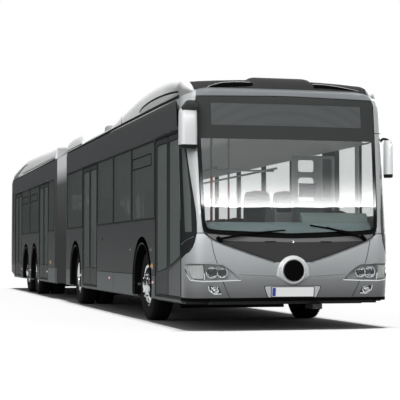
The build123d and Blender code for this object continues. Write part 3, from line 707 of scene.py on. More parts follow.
def smooth_line(points, steps=6):
    """A Catmull-Rom line through points."""
    pts = [Vector(p) for p in points]
    pts = [pts[0] * 2 - pts[1], *pts, pts[-1] * 2 - pts[-2]]
    made = []
    for a, b, c, d in zip(pts, pts[1:], pts[2:], pts[3:]):
        for k in range(steps):
            t = k / steps
            made.append(
                ((b * 2) + (c - a) * t + (a * 2 - b * 5 + c * 4 - d) * t ** 2
                 + (b * 3 - a - c * 3 + d) * t ** 3) / 2
            )
    made.append(pts[-2])
    return made


def flat_region(outline, holes=(), step=None, cuts=()):
    """A bmesh of a flat outline with holes, cut by a grid for bending."""
    bm = bmesh.new()
    loops = [[Vector((p[0], p[1], 0)) for p in loop] for loop in (outline, *holes)]
    verts = [bm.verts.new(p) for loop in loops for p in loop]
    for triangle in tessellate_polygon(loops):
        if len(set(triangle)) == 3:
            try:
                bm.faces.new([verts[i] for i in triangle])
            except ValueError:
                pass
    for face in bm.faces:
        face.normal_update()
        if face.normal.z < 0:
            face.normal_flip()
    bmesh.ops.dissolve_limit(
        bm, angle_limit=0.001, verts=bm.verts, edges=[e for e in bm.edges if len(e.link_faces) == 2]
    )
    xs = [v.co.x for v in bm.verts]
    ys = [v.co.y for v in bm.verts]
    lines = [((x, 0), (1, 0)) for x in grid_steps(min(xs), max(xs), step[0] if step else None)]
    lines += [((0, y), (0, 1)) for y in grid_steps(min(ys), max(ys), step[1] if step else None)]
    lines += [((0, y), (0, 1)) for y in cuts if min(ys) < y < max(ys)]
    for point, normal in lines:
        bmesh.ops.bisect_plane(
            bm, geom=list(bm.verts) + list(bm.edges) + list(bm.faces), dist=1e-6,
            plane_co=(*point, 0), plane_no=(*normal, 0),
        )
    return bm


def grid_steps(low, high, step):
    """Even cuts between two bounds."""
    if not step:
        return []
    count = int((high - low) / step)
    return [low + (high - low) * (i + 1) / (count + 1) for i in range(count)]


def add_panel(bm, place, outline, thick, holes=(), step=None, cuts=(), slot=0, lift=0.0, edge=0.0):
    """A panel: a flat outline bent by place(u, v, depth) and given a thickness inward.

    edge is how far its rim is turned down, for a soft edge.
    """
    region = flat_region(outline, holes, step, cuts)
    region.verts.ensure_lookup_table()
    region.verts.index_update()
    rim = {v.index for v in region.verts if any(len(e.link_faces) == 1 for e in v.link_edges)}
    front = [
        bm.verts.new(place(v.co.x, v.co.y, lift - (edge if v.index in rim else 0.0)))
        for v in region.verts
    ]
    back = [bm.verts.new(place(v.co.x, v.co.y, lift - thick)) for v in region.verts]
    made = []
    for face in region.faces:
        ids = [v.index for v in face.verts]
        made.append(bm.faces.new([front[i] for i in ids]))
        made.append(bm.faces.new([back[i] for i in reversed(ids)]))
    for line in region.edges:
        if len(line.link_faces) == 1:
            a, b = line.verts[0].index, line.verts[1].index
            made.append(bm.faces.new((front[a], front[b], back[b], back[a])))
    set_slot(made, slot)
    region.free()
    bmesh.ops.recalc_face_normals(bm, faces=made)
    return made


# ---------- the skins of the nose and the tail, as the frame has them ----------
NOSE_LEVELS = (
    (0.340, 2.660, 1.275), (0.660, 2.705, 1.275), (1.120, 2.695, 1.275), (2.720, 2.495, 1.275),
    (2.800, 2.470, 1.258), (2.870, 2.420, 1.207), (2.920, 2.330, 1.075),
)
TAIL_LEVELS = (
    (0.440, -0.020, 1.275), (1.300, 0.0, 1.275), (2.720, -0.060, 1.275), (2.800, -0.075, 1.258),
    (2.870, -0.110, 1.207), (2.920, -0.190, 1.075),
)
NOSE_CUTS = tuple(level[0] for level in NOSE_LEVELS[1:])
TAIL_CUTS = tuple(level[0] for level in TAIL_LEVELS[1:])


def end_at(s, z, depth, levels, arc_r, corner_r):
    """A point of an end's plan at a height: s runs round it from the middle, depth outward."""
    low, high = levels[0], levels[1]
    for low, high in zip(levels, levels[1:]):
        if z <= high[0]:
            break
    share = min((z - low[0]) / (high[0] - low[0]), 1.0)
    tip = low[1] + (high[1] - low[1]) * share
    half = low[2] + (high[2] - low[2]) * share
    centre_y = half - corner_r
    arc_x = tip - arc_r
    corner_x = arc_x + math.sqrt((arc_r - corner_r) ** 2 - centre_y ** 2)
    turn = math.atan2(centre_y, corner_x - arc_x)
    way, far = (1 if s >= 0 else -1), abs(s)
    on_arc, on_corner = arc_r * turn, corner_r * (math.pi / 2 - turn)
    if far <= on_arc:
        angle = far / arc_r
        x, y = arc_x + arc_r * math.cos(angle), arc_r * math.sin(angle)
    elif far <= on_arc + on_corner:
        angle = turn + (far - on_arc) / corner_r
        x, y = corner_x + corner_r * math.cos(angle), centre_y + corner_r * math.sin(angle)
    else:
        angle = math.pi / 2
        x, y = corner_x - (far - on_arc - on_corner), half
    return x + depth * math.cos(angle), way * (y + depth * math.sin(angle))


def nose_at(s, z, depth=0.0):
    """A point of the nose; s is to the left."""
    x, y = end_at(s, z, depth, NOSE_LEVELS, 12.0, 0.22)
    return Vector((AXLE_1 + x, y, z))


def tail_at(s, z, depth=0.0):
    """A point of the tail; s is to the left."""
    x, y = end_at(s, z, depth, TAIL_LEVELS, 20.0, 0.16)
    return Vector((-9.770 - x, y, z))


def right_at(x, z, depth=0.0):
    """A point of the right side wall."""
    return Vector((x, -HALF - depth, z))


def left_at(x, z, depth=0.0):
    """A point of the left side wall, for outlines drawn from the front."""
    return Vector((x, HALF + depth, z))


def mirrored(points):
    """An outline on the other side, wound the same way."""
    return [(-p[0], *p[1:]) for p in reversed(points)]


def both(points):
    """An outline and its mirror image."""
    return points, mirrored(points)


def on_side(points, way):
    """An outline on the left for 1, or on the right for -1."""
    return points if way > 0 else mirrored(points)


# ---------- repeats made by Geometry Nodes ----------
def repeat_tree(kind):
    """A node tree that repeats its own geometry: 'row' along a step or 'ring' about a Y axis."""
    name = f"bus_{kind}"
    if name in bpy.data.node_groups:
        return bpy.data.node_groups[name]
    tree = bpy.data.node_groups.new(name, "GeometryNodeTree")
    sockets = tree.interface
    for socket, sort in (
        ("Geometry", "Geometry"), ("Count", "Int"), ("Place", "Vector"), ("Finish", "Material"),
    ):
        sockets.new_socket(socket, in_out="INPUT", socket_type=f"NodeSocket{sort}")
    sockets.new_socket("Geometry", in_out="OUTPUT", socket_type="NodeSocketGeometry")
    given = add_node(tree, "NodeGroupInput").outputs
    line = add_node(tree, "GeometryNodeMeshLine", links={"Count": given["Count"]})
    placed = add_node(
        tree, "GeometryNodeInstanceOnPoints",
        links={"Points": line.outputs["Mesh"], "Instance": given["Geometry"]},
    )
    if kind == "row":
        tree.links.new(given["Place"], line.inputs["Offset"])
    else:
        line.inputs["Offset"].default_value = (0.0, 0.0, 0.0)
        tree.links.new(given["Place"], line.inputs["Start Location"])
        step = add_node(
            tree, "ShaderNodeMath", {"operation": "DIVIDE"}, {0: 2 * math.pi}, {1: given["Count"]},
        )
        index = add_node(tree, "GeometryNodeInputIndex").outputs[0]
        turn = add_node(
            tree, "ShaderNodeMath", {"operation": "MULTIPLY"}, links={0: index, 1: step.outputs[0]},
        )
        about = add_node(tree, "ShaderNodeCombineXYZ", links={"Y": turn.outputs[0]})
        tree.links.new(about.outputs[0], placed.inputs["Rotation"])
    whole = add_node(
        tree, "GeometryNodeRealizeInstances", links={"Geometry": placed.outputs["Instances"]}
    )
    finished = add_node(
        tree, "GeometryNodeSetMaterial",
        links={"Geometry": whole.outputs["Geometry"], "Material": given["Finish"]},
    )
    add_node(tree, "NodeGroupOutput", links={"Geometry": finished.outputs["Geometry"]})
    return tree


def add_repeated(bm, part, kind, count, place, material, slot=0):
    """Repeat a part with Geometry Nodes and add the result to a mesh in the making."""
    tree = repeat_tree(kind)
    mesh = bpy.data.meshes.new("repeat")
    part.to_mesh(mesh)
    part.free()
    holder = bpy.data.objects.new("repeat", mesh)
    bpy.context.scene.collection.objects.link(holder)
    modifier = holder.modifiers.new("repeat", "NODES")
    modifier.node_group = tree
    values = {"Count": count, "Place": place, "Finish": bpy.data.materials[material]}
    for item in tree.interface.items_tree:
        if item.in_out == "INPUT" and item.name in values:
            modifier[item.identifier] = values[item.name]
    bpy.context.view_layer.update()
    evaluated = holder.evaluated_get(bpy.context.evaluated_depsgraph_get())
    result = bpy.data.meshes.new_from_object(evaluated)
    holder.modifiers.remove(modifier)
    bpy.data.objects.remove(holder)
    before = len(bm.faces)
    bm.from_mesh(result)
    bm.faces.ensure_lookup_table()
    set_slot(bm.faces[before:], slot)
    bpy.data.meshes.remove(result)


# ---------- the nose ----------
SEAM_S = 1.555
V_EDGE = (
    (0.0, 0.800), (0.185, 0.803), (0.41, 0.870), (0.653, 0.952), (0.86, 1.026), (0.965, 1.070),
    (1.03, 1.112),
)
SWEEP = ((1.179, 1.126), (1.197, 1.047), (1.225, 0.985), (1.272, 0.929), (1.40, 0.884))
LAMP = (
    (1.395, 0.776), (1.336, 0.69), (1.255, 0.604), (1.10, 0.590), (0.655, 0.600), (0.70, 0.662),
    (0.79, 0.733), (0.868, 0.776), (1.074, 0.786), (1.262, 0.789),
)
FOG = ((1.032, 0.531), (1.020, 0.47), (0.952, 0.424), (0.860, 0.430), (0.897, 0.506))
COVER_STEP = (0.05, 0.05)
SCREEN_STEP = (0.09, 0.12)
SCREEN_HALF = (
    (0.0, 1.093), (0.30, 1.100), (0.60, 1.116), (0.90, 1.137), (1.02, 1.148), (1.068, 1.175),
    (1.092, 1.235), (1.100, 1.32), (1.108, 1.6), (1.118, 2.0), (1.128, 2.4), (1.132, 2.74),
    (1.128, 2.782), (1.110, 2.792), (0.0, 2.810),
)
PILLAR_OUTER = (
    (1.166, 1.15), (1.164, 1.28), (1.172, 1.42), (1.197, 1.6), (1.224, 1.78), (1.250, 1.96),
    (1.285, 2.2), (1.325, 2.4), (1.385, 2.56), (1.47, 2.68), (1.60, 2.775), (1.72, 2.80),
)


def whole(half):
    """A closed outline from its left half, which starts and ends on the middle line."""
    return list(half) + [(-s, z) for s, z in reversed(half) if s > 1e-6]


def nose_panel(bm, outline, thick=0.010, holes=(), slot=0, lift=0.0, edge=0.0, step=(0.05, 0.11)):
    """A panel that lies on the skin of the nose."""
    add_panel(
        bm, nose_at, outline, thick, holes, step=step, cuts=NOSE_CUTS, slot=slot, lift=lift,
        edge=edge,
    )


def nose_piece(name, material, outlines, thick, holes=(), replaces=(), **options):
    """A piece made of panels on the nose that share their thickness and lift."""
    bm = bmesh.new()
    for outline in outlines:
        nose_panel(bm, outline, thick, holes, **options)
    finish_piece(name, bm, material, FRONT, replaces)


def ribbon(points, width):
    """A thin closed outline along a line of points."""
    pts = [Vector((p[0], p[1])) for p in points]
    left, right = [], []
    for i, point in enumerate(pts):
        ahead = (pts[min(i + 1, len(pts) - 1)] - pts[max(i - 1, 0)]).normalized()
        side = Vector((-ahead.y, ahead.x)) * width / 2
        left.append(tuple(point + side))
        right.append(tuple(point - side))
    return left + right[::-1]


def build_mask():
    """Silver mask, bumper, lower lip and the seams between its panels."""
    seam = bpy.context.scene.bus_sizes.seam_width
    half = [*V_EDGE, (1.075, 1.140), (1.166, 1.146), *SWEEP, (SEAM_S, 0.845), (SEAM_S, 0.386),
            (1.20, 0.382), (0.64, 0.385), (0.0, 0.388)]
    bm = bmesh.new()
    nose_panel(
        bm, whole(half), 0.014, (LAMP, mirrored(LAMP), FOG, mirrored(FOG)), lift=0.0, edge=0.002
    )
    finish_piece("nose_mask", bm, "nose_paint_silver", FRONT, ("front_mask",))

    bm = bmesh.new()
    lip = [
        (0.0, 0.386), (0.64, 0.383), (1.20, 0.380), (SEAM_S, 0.384), (SEAM_S, 0.342), (0.0, 0.342),
    ]
    nose_panel(bm, whole(lip), 0.03, lift=0.004, edge=0.003)
    finish_piece("bumper_lip", bm, "arch_liner_black", FRONT)

    bm = bmesh.new()
    upper = smooth_line([(0.998, 1.075, 0), (0.968, 0.92, 0), (0.928, 0.79, 0)], 5)
    lower = smooth_line([(0.862, 0.592, 0), (0.812, 0.475, 0), (0.765, 0.388, 0)], 4)
    for line in (upper, lower):
        for points in both(ribbon(line, seam)):
            nose_panel(bm, points, 0.004, lift=0.0016)
    edge = ribbon(
        [(1.166, 1.150), (1.179, 1.126), (1.197, 1.047), (1.225, 0.985), (1.272, 0.929),
         (1.40, 0.884), (SEAM_S, 0.845)], seam,
    )
    for points in both(edge):
        nose_panel(bm, points, 0.004, lift=0.0016)
    joint = ribbon([(1.105, 1.150), (1.168, 1.150)], 0.009)
    for points in both(joint):
        nose_panel(bm, points, 0.004, lift=0.0030)
    finish_piece("nose_seams", bm, "seal_rubber", FRONT)

    # A rolled crease from each lamp to the middle
    bm = bmesh.new()
    crease = [(0.66, 0.668), (0.45, 0.655), (0.28, 0.646), (0.15, 0.642)]
    for way in (1, -1):
        line = [nose_at(way * s, z, -0.002) for s, z in smooth_points(crease, 5)]
        add_sweep(bm, line, 0.009, 8)
    finish_piece("nose_crease", bm, "nose_paint_silver", FRONT)


def smooth_points(points, steps=6):
    """A smooth flat line through points."""
    return [(p.x, p.y) for p in smooth_line([(a, b, 0.0) for a, b in points], steps)]


def build_cowl():
    """The dark panel under the windscreen, in two tones, with its edge, slots and lock."""
    bm = bmesh.new()
    cowl_edge = [(0.0, 1.040), (0.55, 1.046), (0.88, 1.060), (0.965, 1.0705)]
    lower = [(0.0, 0.795), (0.185, 0.800), *V_EDGE[2:6]]
    outline = lower + [(0.955, 1.066)] + cowl_edge[::-1][1:-1] + [(0.0, 1.040)]
    nose_panel(bm, whole(outline), 0.012, slot=1, lift=-0.002, edge=0.002)
    top = [(0.0, 1.044), (0.55, 1.050), (0.88, 1.064), (0.962, 1.0725), (1.028, 1.116),
           (1.045, 1.146), (0.90, 1.131), (0.60, 1.110), (0.30, 1.094), (0.0, 1.087)]
    nose_panel(bm, whole(top), 0.012, slot=0, lift=-0.002, edge=0.002)
    finish_piece("cowl_panel", bm, ["hood_paint_grey", "hood_paint_black"], FRONT)
    bm = bmesh.new()
    line = smooth_points([(0.205, 0.806), *V_EDGE[2:], (1.072, 1.140)], 5)
    for points in both(ribbon(line, 0.012)):
        nose_panel(bm, points, 0.006, lift=0.002)
    for s in (-0.28, 0.42):
        nose_panel(bm, rounded(rect(s - 0.07, s + 0.07, 1.044, 1.056), 0.005, 3), 0.004, lift=0.002)
    finish_piece("cowl_seal", bm, "seal_rubber", FRONT)
    bm = bmesh.new()
    bright = smooth_points([(p[0] + 0.010, p[1] - 0.012) for p in [(0.215, 0.807), *V_EDGE[2:]]], 5)
    for points in both(ribbon(bright, 0.006)):
        nose_panel(bm, points, 0.005, lift=0.003)
    add_lathe(bm, nose_at(0.0, 1.052, 0.0), (1, 0, 0.05),
              ((-0.004, 0.0), (0.0, 0.020), (0.006, 0.018), (0.008, 0.010), (0.004, 0.008),
               (0.003, 0.0)), 24)
    finish_piece("cowl_bright_trim", bm, "chrome_plate", FRONT)


def build_badge():
    """The silver dome over the middle, with a plain ringed disc."""
    radius, middle = bpy.context.scene.bus_sizes.badge_radius, 0.703
    arch = [(0.212, 0.640)]
    for i in range(15):
        turn = math.radians(2 + 176 * i / 14)
        arch.append((0.205 * math.cos(turn), 0.660 + 0.225 * math.sin(turn)))
    arch.append((-0.212, 0.640))
    arch += [(-0.150, 0.600), (-0.08, 0.566), (0.0, 0.556), (0.08, 0.566), (0.150, 0.600)]
    bm = bmesh.new()
    nose_panel(bm, arch, 0.045, lift=0.017, edge=0.015, step=(0.028, 0.028))
    finish_piece("badge_dome", bm, "badge_lacquer_silver", FRONT)
    centre = nose_at(0.0, middle, 0.018)
    bm = bmesh.new()
    add_lathe(bm, centre, (1, 0, 0), (
        (-0.012, radius), (0.003, radius + 0.002), (0.010, radius + 0.006), (0.012, radius + 0.012),
        (0.009, radius + 0.020), (0.001, radius + 0.030), (-0.014, radius + 0.035),
    ), 64)
    finish_piece("badge_ring", bm, "badge_lacquer_silver", FRONT)
    bm = bmesh.new()
    add_lathe(
        bm, centre, (1, 0, 0),
        (
            (-0.004, radius + 0.0015), (0.002, radius), (0.003, radius - 0.006), (0.006, 0.060),
            (0.008, 0.0),
        ),
        64,
    )
    finish_piece("badge_disc", bm, "arch_liner_black", FRONT)
    bm = bmesh.new()
    add_lathe(
        bm, centre, (1, 0, 0),
        (
            (0.0020, radius - 0.0005), (0.0085, radius - 0.0025), (0.0085, radius - 0.0060),
            (0.0025, radius - 0.0080),
        ),
        64, closed=True,
    )
    finish_piece("badge_rim", bm, "chrome_plate", FRONT)


def build_plate():
    """A blank number plate with a plain blue band, in its holder."""
    bm = bmesh.new()
    holder = rounded([(-0.300, 0.389), (0.300, 0.389), (0.352, 0.519), (-0.352, 0.519)], 0.018)
    nose_panel(bm, holder, 0.02, lift=0.010, edge=0.004, step=(0.08, 0.07))
    finish_piece("plate_holder", bm, "bumper_paint_grey", FRONT)
    bm = bmesh.new()
    plate = rounded(rect(-0.262, 0.262, 0.396, 0.508), 0.012)
    nose_panel(bm, plate, 0.003, lift=0.0145, step=(0.1, 0.1))
    band = rounded(rect(-0.256, -0.214, 0.402, 0.502), 0.006)
    nose_panel(bm, band, 0.002, slot=1, lift=0.0170, step=(0.1, 0.1))
    finish_piece("number_plate", bm, ["plate_sheet_white", "plate_sheet_blue"], FRONT)
    bm = bmesh.new()
    for outer, inner in (
        (
            rounded([(-0.309, 0.383), (0.309, 0.383), (0.362, 0.525), (-0.362, 0.525)], 0.020),
            holder,
        ),
        (rounded(rect(-0.272, 0.272, 0.389, 0.515), 0.016), plate),
    ):
        nose_panel(
            bm, outer, 0.004, (inner,), lift=0.0045 if inner is holder else 0.0125, step=(0.1, 0.1),
        )
    finish_piece("plate_outlines", bm, "seal_rubber", FRONT)


def bucket(bm, outline, deep, slot=0):
    """A recess behind an outline of the nose: its walls and its back."""
    count = len(outline)
    front = [bm.verts.new(nose_at(s, z, -0.002)) for s, z in outline]
    middle_s = sum(p[0] for p in outline) / count
    middle_z = sum(p[1] for p in outline) / count
    back = [
        bm.verts.new(
            nose_at(middle_s + (s - middle_s) * 0.94, middle_z + (z - middle_z) * 0.9, -deep)
        )
        for s, z in outline
    ]
    made = []
    for i in range(count):
        j = (i + 1) % count
        made.append(bm.faces.new((front[i], front[j], back[j], back[i])))
    made.append(bm.faces.new(back))
    set_slot(made, slot)
    return made


# Round headlamps: place across and up, and radius
ROUND_LAMPS = ((0.990, 0.688, 0.060), (0.868, 0.684, 0.052))
LAMP_BULB = ((-0.056, 0.010), (-0.020, 0.011), (-0.012, 0.010), (-0.006, 0.006), (-0.004, 0.0))
FOG_BOWL = (
    (0.003, 0.050), (0.005, 0.044), (0.0, 0.040), (-0.02, 0.032), (-0.035, 0.012), (-0.036, 0.0),
)


def reflector(radius):
    """Section of a headlamp's bowl, from its bezel to its middle."""
    return (
        (0.004, radius + 0.012), (0.008, radius + 0.005), (0.0, radius), (-0.022, radius * 0.86),
        (-0.045, radius * 0.55), (-0.055, radius * 0.25), (-0.056, 0.0),
    )


def build_lamps():
    """Headlamps and fog lamps: buckets, reflectors, bulbs, indicators and clear covers."""
    for way, side in ((1, "left"), (-1, "right")):
        outline = on_side(rounded(LAMP, 0.02, 3), way)
        bm = bmesh.new()
        bucket(bm, outline, 0.085, 3)
        for s, z, radius in ROUND_LAMPS:
            centre = nose_at(way * s, z, -0.012)
            add_lathe(bm, centre, (1, 0, 0), reflector(radius), 32, slot=1)
            add_lathe(bm, centre, (1, 0, 0), LAMP_BULB, 16, slot=2)
        finish_piece(
            f"headlamp_{side}", bm,
            ["lamp_reflector", "chrome_plate", "trim_plastic_black", "lamp_bezel_grey"], FRONT,
            ("headlamps",),
        )
        # Ribbed indicator in the outer third, and the bright rim under the lamp
        grid = rounded([(1.095, 0.607), (1.235, 0.617), (1.345, 0.765), (1.085, 0.770)], 0.015)
        nose_piece(
            f"indicator_front_{side}", "indicator_lens_clear", [on_side(grid, way)], 0.006,
            lift=-0.016, step=(0.04, 0.05),
        )
        rim = ribbon([(1.362, 0.72), (1.325, 0.672), (1.252, 0.594), (1.10, 0.580), (0.88, 0.584),
                      (0.642, 0.594)], 0.012)
        split = ribbon([(1.080, 0.595), (1.090, 0.78)], 0.010)
        rims = [on_side(points, way) for points in (rim, split)]
        nose_piece(f"lamp_rim_{side}", "chrome_plate", rims, 0.010, lift=0.004, edge=0.002)
        nose_piece(
            f"lamp_cover_{side}", "lamp_cover_clear", [outline], 0.003, lift=0.001,
            step=COVER_STEP,
        )
        # Fog lamp
        bm = bmesh.new()
        fog = on_side(rounded(FOG, 0.012, 3), way)
        bucket(bm, fog, 0.07, 1)
        centre = nose_at(way * 0.951, 0.478, -0.006)
        add_lathe(bm, centre, (1, 0, 0), FOG_BOWL, 28, slot=0)
        trim = ribbon([(1.028, 0.527), (1.018, 0.472), (0.952, 0.428), (0.868, 0.433)], 0.010)
        nose_panel(bm, on_side(trim, way), 0.006, lift=0.002)
        finish_piece(
            f"fog_lamp_{side}", bm, ["chrome_plate", "trim_plastic_black"], FRONT
        )
        nose_piece(
            f"fog_cover_{side}", "lamp_cover_clear", [fog], 0.002, lift=-0.004, step=COVER_STEP,
        )


def build_screen():
    """The windscreen with its black edge, its pillars and the dark corner glass surrounds."""
    opening = whole(SCREEN_HALF)
    nose_piece(
        "windscreen_pane", "windscreen_glass", [opening], 0.008, replaces=("windscreen",),
        lift=-0.003, step=SCREEN_STEP,
    )

    # Black printed edge: a narrow border, and a deep band at the top with a gap for the display
    clear = [
        (0.0, 1.150), (0.90, 1.186), (1.01, 1.200), (1.045, 1.225), (1.062, 1.29), (1.070, 1.6),
        (1.080, 2.0), (1.084, 2.280), (0.0, 2.280),
    ]
    window = rounded(rect(-0.952, 0.952, 2.447, 2.712), 0.01, 3)
    print_fit = {"thick": 0.0015, "lift": -0.0012, "step": SCREEN_STEP}
    nose_piece(
        "screen_frit", "screen_frit_black", [opening], holes=(whole(clear), window), **print_fit
    )
    nose_piece("display_face", "display_matrix", [window], **print_fit)
    outer = [
        (s * 1.006 + (0.004 if s else 0), z - 0.006 if z < 2 else z + 0.006)
        for s, z in SCREEN_HALF
    ]
    nose_piece(
        "screen_seal", "seal_rubber", [whole(outer)], 0.010, (opening,), lift=-0.0005,
        step=SCREEN_STEP,
    )

    inner = [(1.090, 1.150), (1.104, 1.235), (1.110, 1.32), (1.118, 1.6), (1.128, 2.0),
             (1.138, 2.4), (1.141, 2.72), (1.120, 2.800)]
    top = [(1.115, 2.86), (1.08, 2.917), (1.60, 2.917), (1.90, 2.917), (2.0, 2.80)]
    pillar = inner + top + [tuple(p) for p in reversed(PILLAR_OUTER)]
    nose_piece(
        "screen_pillars", "fairing_paint_white", both(pillar), 0.03, replaces=("screen_frame",),
        lift=0.002, edge=0.004, step=(0.035, 0.09),
    )
    joint = ribbon([(1.138, 2.390), (1.325, 2.395)], 0.008)
    nose_piece("pillar_joints", "seal_rubber", both(joint), 0.004, lift=0.0045)

    # Corner glass surround: dark, down to the sweep of the mask
    pane = [(1.36, 1.165), (1.235, 1.165), (1.235, 1.6), (1.28, 2.0), (1.345, 2.37), (1.375, 2.40),
            (1.395, 2.37)]
    outer_edge = [(SEAM_S, 0.850), (SEAM_S, 2.385), (1.64, 2.385), (1.64, 2.770)]
    surround = [(p[0] + 0.004, p[1]) for p in PILLAR_OUTER[:-1]]
    surround = [(1.185, 1.130), (1.205, 1.050), (1.232, 0.988), (1.278, 0.934), (1.403, 0.889),
                *outer_edge, *reversed(surround)]
    bm = bmesh.new()
    for points, hole in ((surround, pane), (mirrored(surround), mirrored(pane))):
        nose_panel(bm, points, 0.02, (hole,), lift=0.0, edge=0.002, step=(0.05, 0.11))
    finish_piece("corner_surrounds", bm, "smoked_glass", FRONT)
    nose_piece(
        "corner_panes", "side_glass_tinted", both(pane), 0.004, lift=-0.003, step=(0.05, 0.2),
    )
    line = ribbon(
        smooth_points([(1.205, 1.108), (1.30, 1.075), (1.42, 1.040), (1.545, 1.012)], 4), 0.006,
    )
    nose_piece("corner_trim", "brushed_steel", both(line), 0.003, lift=0.002)


def build_header():
    """The silver band over the windscreen, its marker lamps and the blank display behind it."""
    bm = bmesh.new()
    band = [
        (0.0, 2.820), (1.110, 2.802), (1.132, 2.796), (1.112, 2.86), (1.078, 2.917), (0.0, 2.917),
    ]
    nose_panel(bm, whole(band), 0.02, lift=0.002, edge=0.003, step=(0.07, 0.03))
    finish_piece("header_band", bm, "header_paint_silver", FRONT)
    bm = bmesh.new()
    for s in (-0.955, 0.935):
        lamp = rounded(rect(s - 0.05, s + 0.05, 2.848, 2.868), 0.008, 3)
        nose_panel(bm, lamp, 0.006, lift=0.008, edge=0.003, step=(0.03, 0.01))
    finish_piece("marker_lamps_white", bm, "lamp_cover_clear", FRONT)
    bm = bmesh.new()

    def sign_at(s, z, depth=0.0):
        return Vector((AXLE_1 + 2.395 + depth, s, z))

    face = rect(-0.948, 0.948, 2.45, 2.709)
    add_panel(bm, sign_at, face, 0.10, slot=1)
    add_panel(bm, sign_at, rect(-0.940, 0.940, 2.455, 2.705), 0.004, lift=0.004)
    side_face = rect(AXLE_1 - 0.46, AXLE_1 + 0.70, 2.42, 2.70)

    def inside_at(x, z, depth=0.0):
        return Vector((x, -1.213 - depth, z))

    add_panel(bm, inside_at, side_face, 0.09, slot=1)
    finish_piece(
        "display_boxes", bm, ["display_matrix", "panel_plastic_grey"], FRONT, ("destination_signs",)
    )


def build_wipers():
    """Two wipers with pivots, arms and blades."""
    arm_radius = bpy.context.scene.bus_sizes.wiper_arm_radius
    bm = bmesh.new()
    for pivot, elbow, tip_a, tip_b in (
        ((-0.915, 1.078), (-0.60, 1.135), (-0.52, 1.150), (-0.10, 1.185)),
        ((0.885, 1.098), (0.42, 1.220), (0.22, 1.245), (0.72, 1.165)),
    ):
        pivot, elbow, tip_a, tip_b = [Vector(p) for p in (pivot, elbow, tip_a, tip_b)]
        boss = [
            nose_at(pivot.x + 0.035, pivot.y - 0.025, 0.020),
            nose_at(pivot.x - 0.015, pivot.y + 0.020, 0.030),
        ]
        add_sweep(bm, boss, 0.034, 14, flat=0.7)
        bend = (pivot + elbow) / 2
        arm = smooth_line(
            [nose_at(*pivot, 0.035), nose_at(*bend, 0.040), nose_at(*elbow, 0.030)], 5,
        )
        add_sweep(bm, arm, arm_radius, 8, flat=0.7)
        for depth, radius in ((0.018, 0.014), (0.006, 0.007)):
            blade = [nose_at(*tip_a.lerp(tip_b, i / 8), depth) for i in range(9)]
            add_sweep(bm, blade, radius, 6, flat=0.8)
        add_sweep(bm, [nose_at(*elbow, 0.030), nose_at(*tip_a.lerp(tip_b, 0.5), 0.022)], 0.009, 6)
    finish_piece("wiper_arms", bm, "arch_liner_black", FRONT, ("wipers",))


def build_mirrors():
    """Two mirror heads on their arms, with black feet and silvered faces."""
    heads = (
        ("right", -1, (2.490, 2.625), (1.144, 1.360), (2.152, 2.622), (2.395, 1.180, 2.735)),
        ("left", 1, (2.375, 2.528), (1.288, 1.373), (1.845, 2.308), (2.345, 1.262, 2.300)),
    )
    for name, way, xs, ys, zs, foot in heads:
        x0, x1 = AXLE_1 + xs[0], AXLE_1 + xs[1]
        y0, y1 = ys
        bm = bmesh.new()
        rings = []
        stations = ((0.0, 0.80, -0.02), (0.02, 0.93, 0.0), (0.09, 1.0, 0.0), (0.5, 1.0, 0.004),
                    (0.88, 0.97, 0.0), (0.96, 0.88, -0.006), (1.0, 0.70, -0.012))
        for share, fill, _ in stations:
            z = zs[0] + (zs[1] - zs[0]) * share
            cx, cy = (x0 + x1) / 2, (y0 + y1) / 2
            hx, hy = (x1 - x0) / 2 * fill, (y1 - y0) / 2 * (0.55 + 0.45 * fill)
            ring = rounded([(cx - hx, cy - hy), (cx + hx * 0.75, cy - hy), (cx + hx, cy + hy * 0.8),
                            (cx - hx, cy + hy)], [0.012, 0.055, 0.05, 0.012], 4)
            rings.append([Vector((x, way * y, z)) for x, y in ring])
        faces = add_loft(bm, rings)
        for face in faces:
            middle = face.calc_center_median()
            low = middle.z < zs[0] + 0.055
            back = middle.x < x0 + 0.012
            glass = back and not low and zs[0] + 0.05 < middle.z < zs[1] - 0.04
            face.material_index = 2 if glass else int(low or back)
        finish_piece(
            f"mirror_head_{name}", bm,
            ["mirror_paint_white", "trim_plastic_black", "mirror_silvering"], FRONT, ("mirrors",),
            sharp=40,
        )
        bm = bmesh.new()
        start = Vector((AXLE_1 + foot[0], way * foot[1], foot[2]))
        end = Vector(((x0 + x1) / 2, way * (y0 + y1) / 2, zs[1] - 0.02))
        if name == "right":
            ring_at = []
            for share, hx, hy in (
                (0.0, 0.075, 0.050), (0.45, 0.085, 0.075), (0.8, 0.072, 0.092), (1.0, 0.060, 0.085),
            ):
                c = start.lerp(end, share)
                ring = rounded(rect(c.x - hx, c.x + hx, c.y - hy, c.y + hy), 0.02, 3)
                ring_at.append([Vector((x, y, c.z)) for x, y in ring])
            add_loft(bm, ring_at)
        else:
            arm = smooth_line(
                [
                    start, start.lerp(end, 0.4) + Vector((0, 0, 0.035)),
                    Vector((end.x, end.y, zs[1] - 0.004)), end - Vector((0, 0, 0.04)),
                ],
                5,
            )
            add_sweep(bm, arm, 0.016, 10)
        finish_piece(f"mirror_arm_{name}", bm, "trim_plastic_black", FRONT)


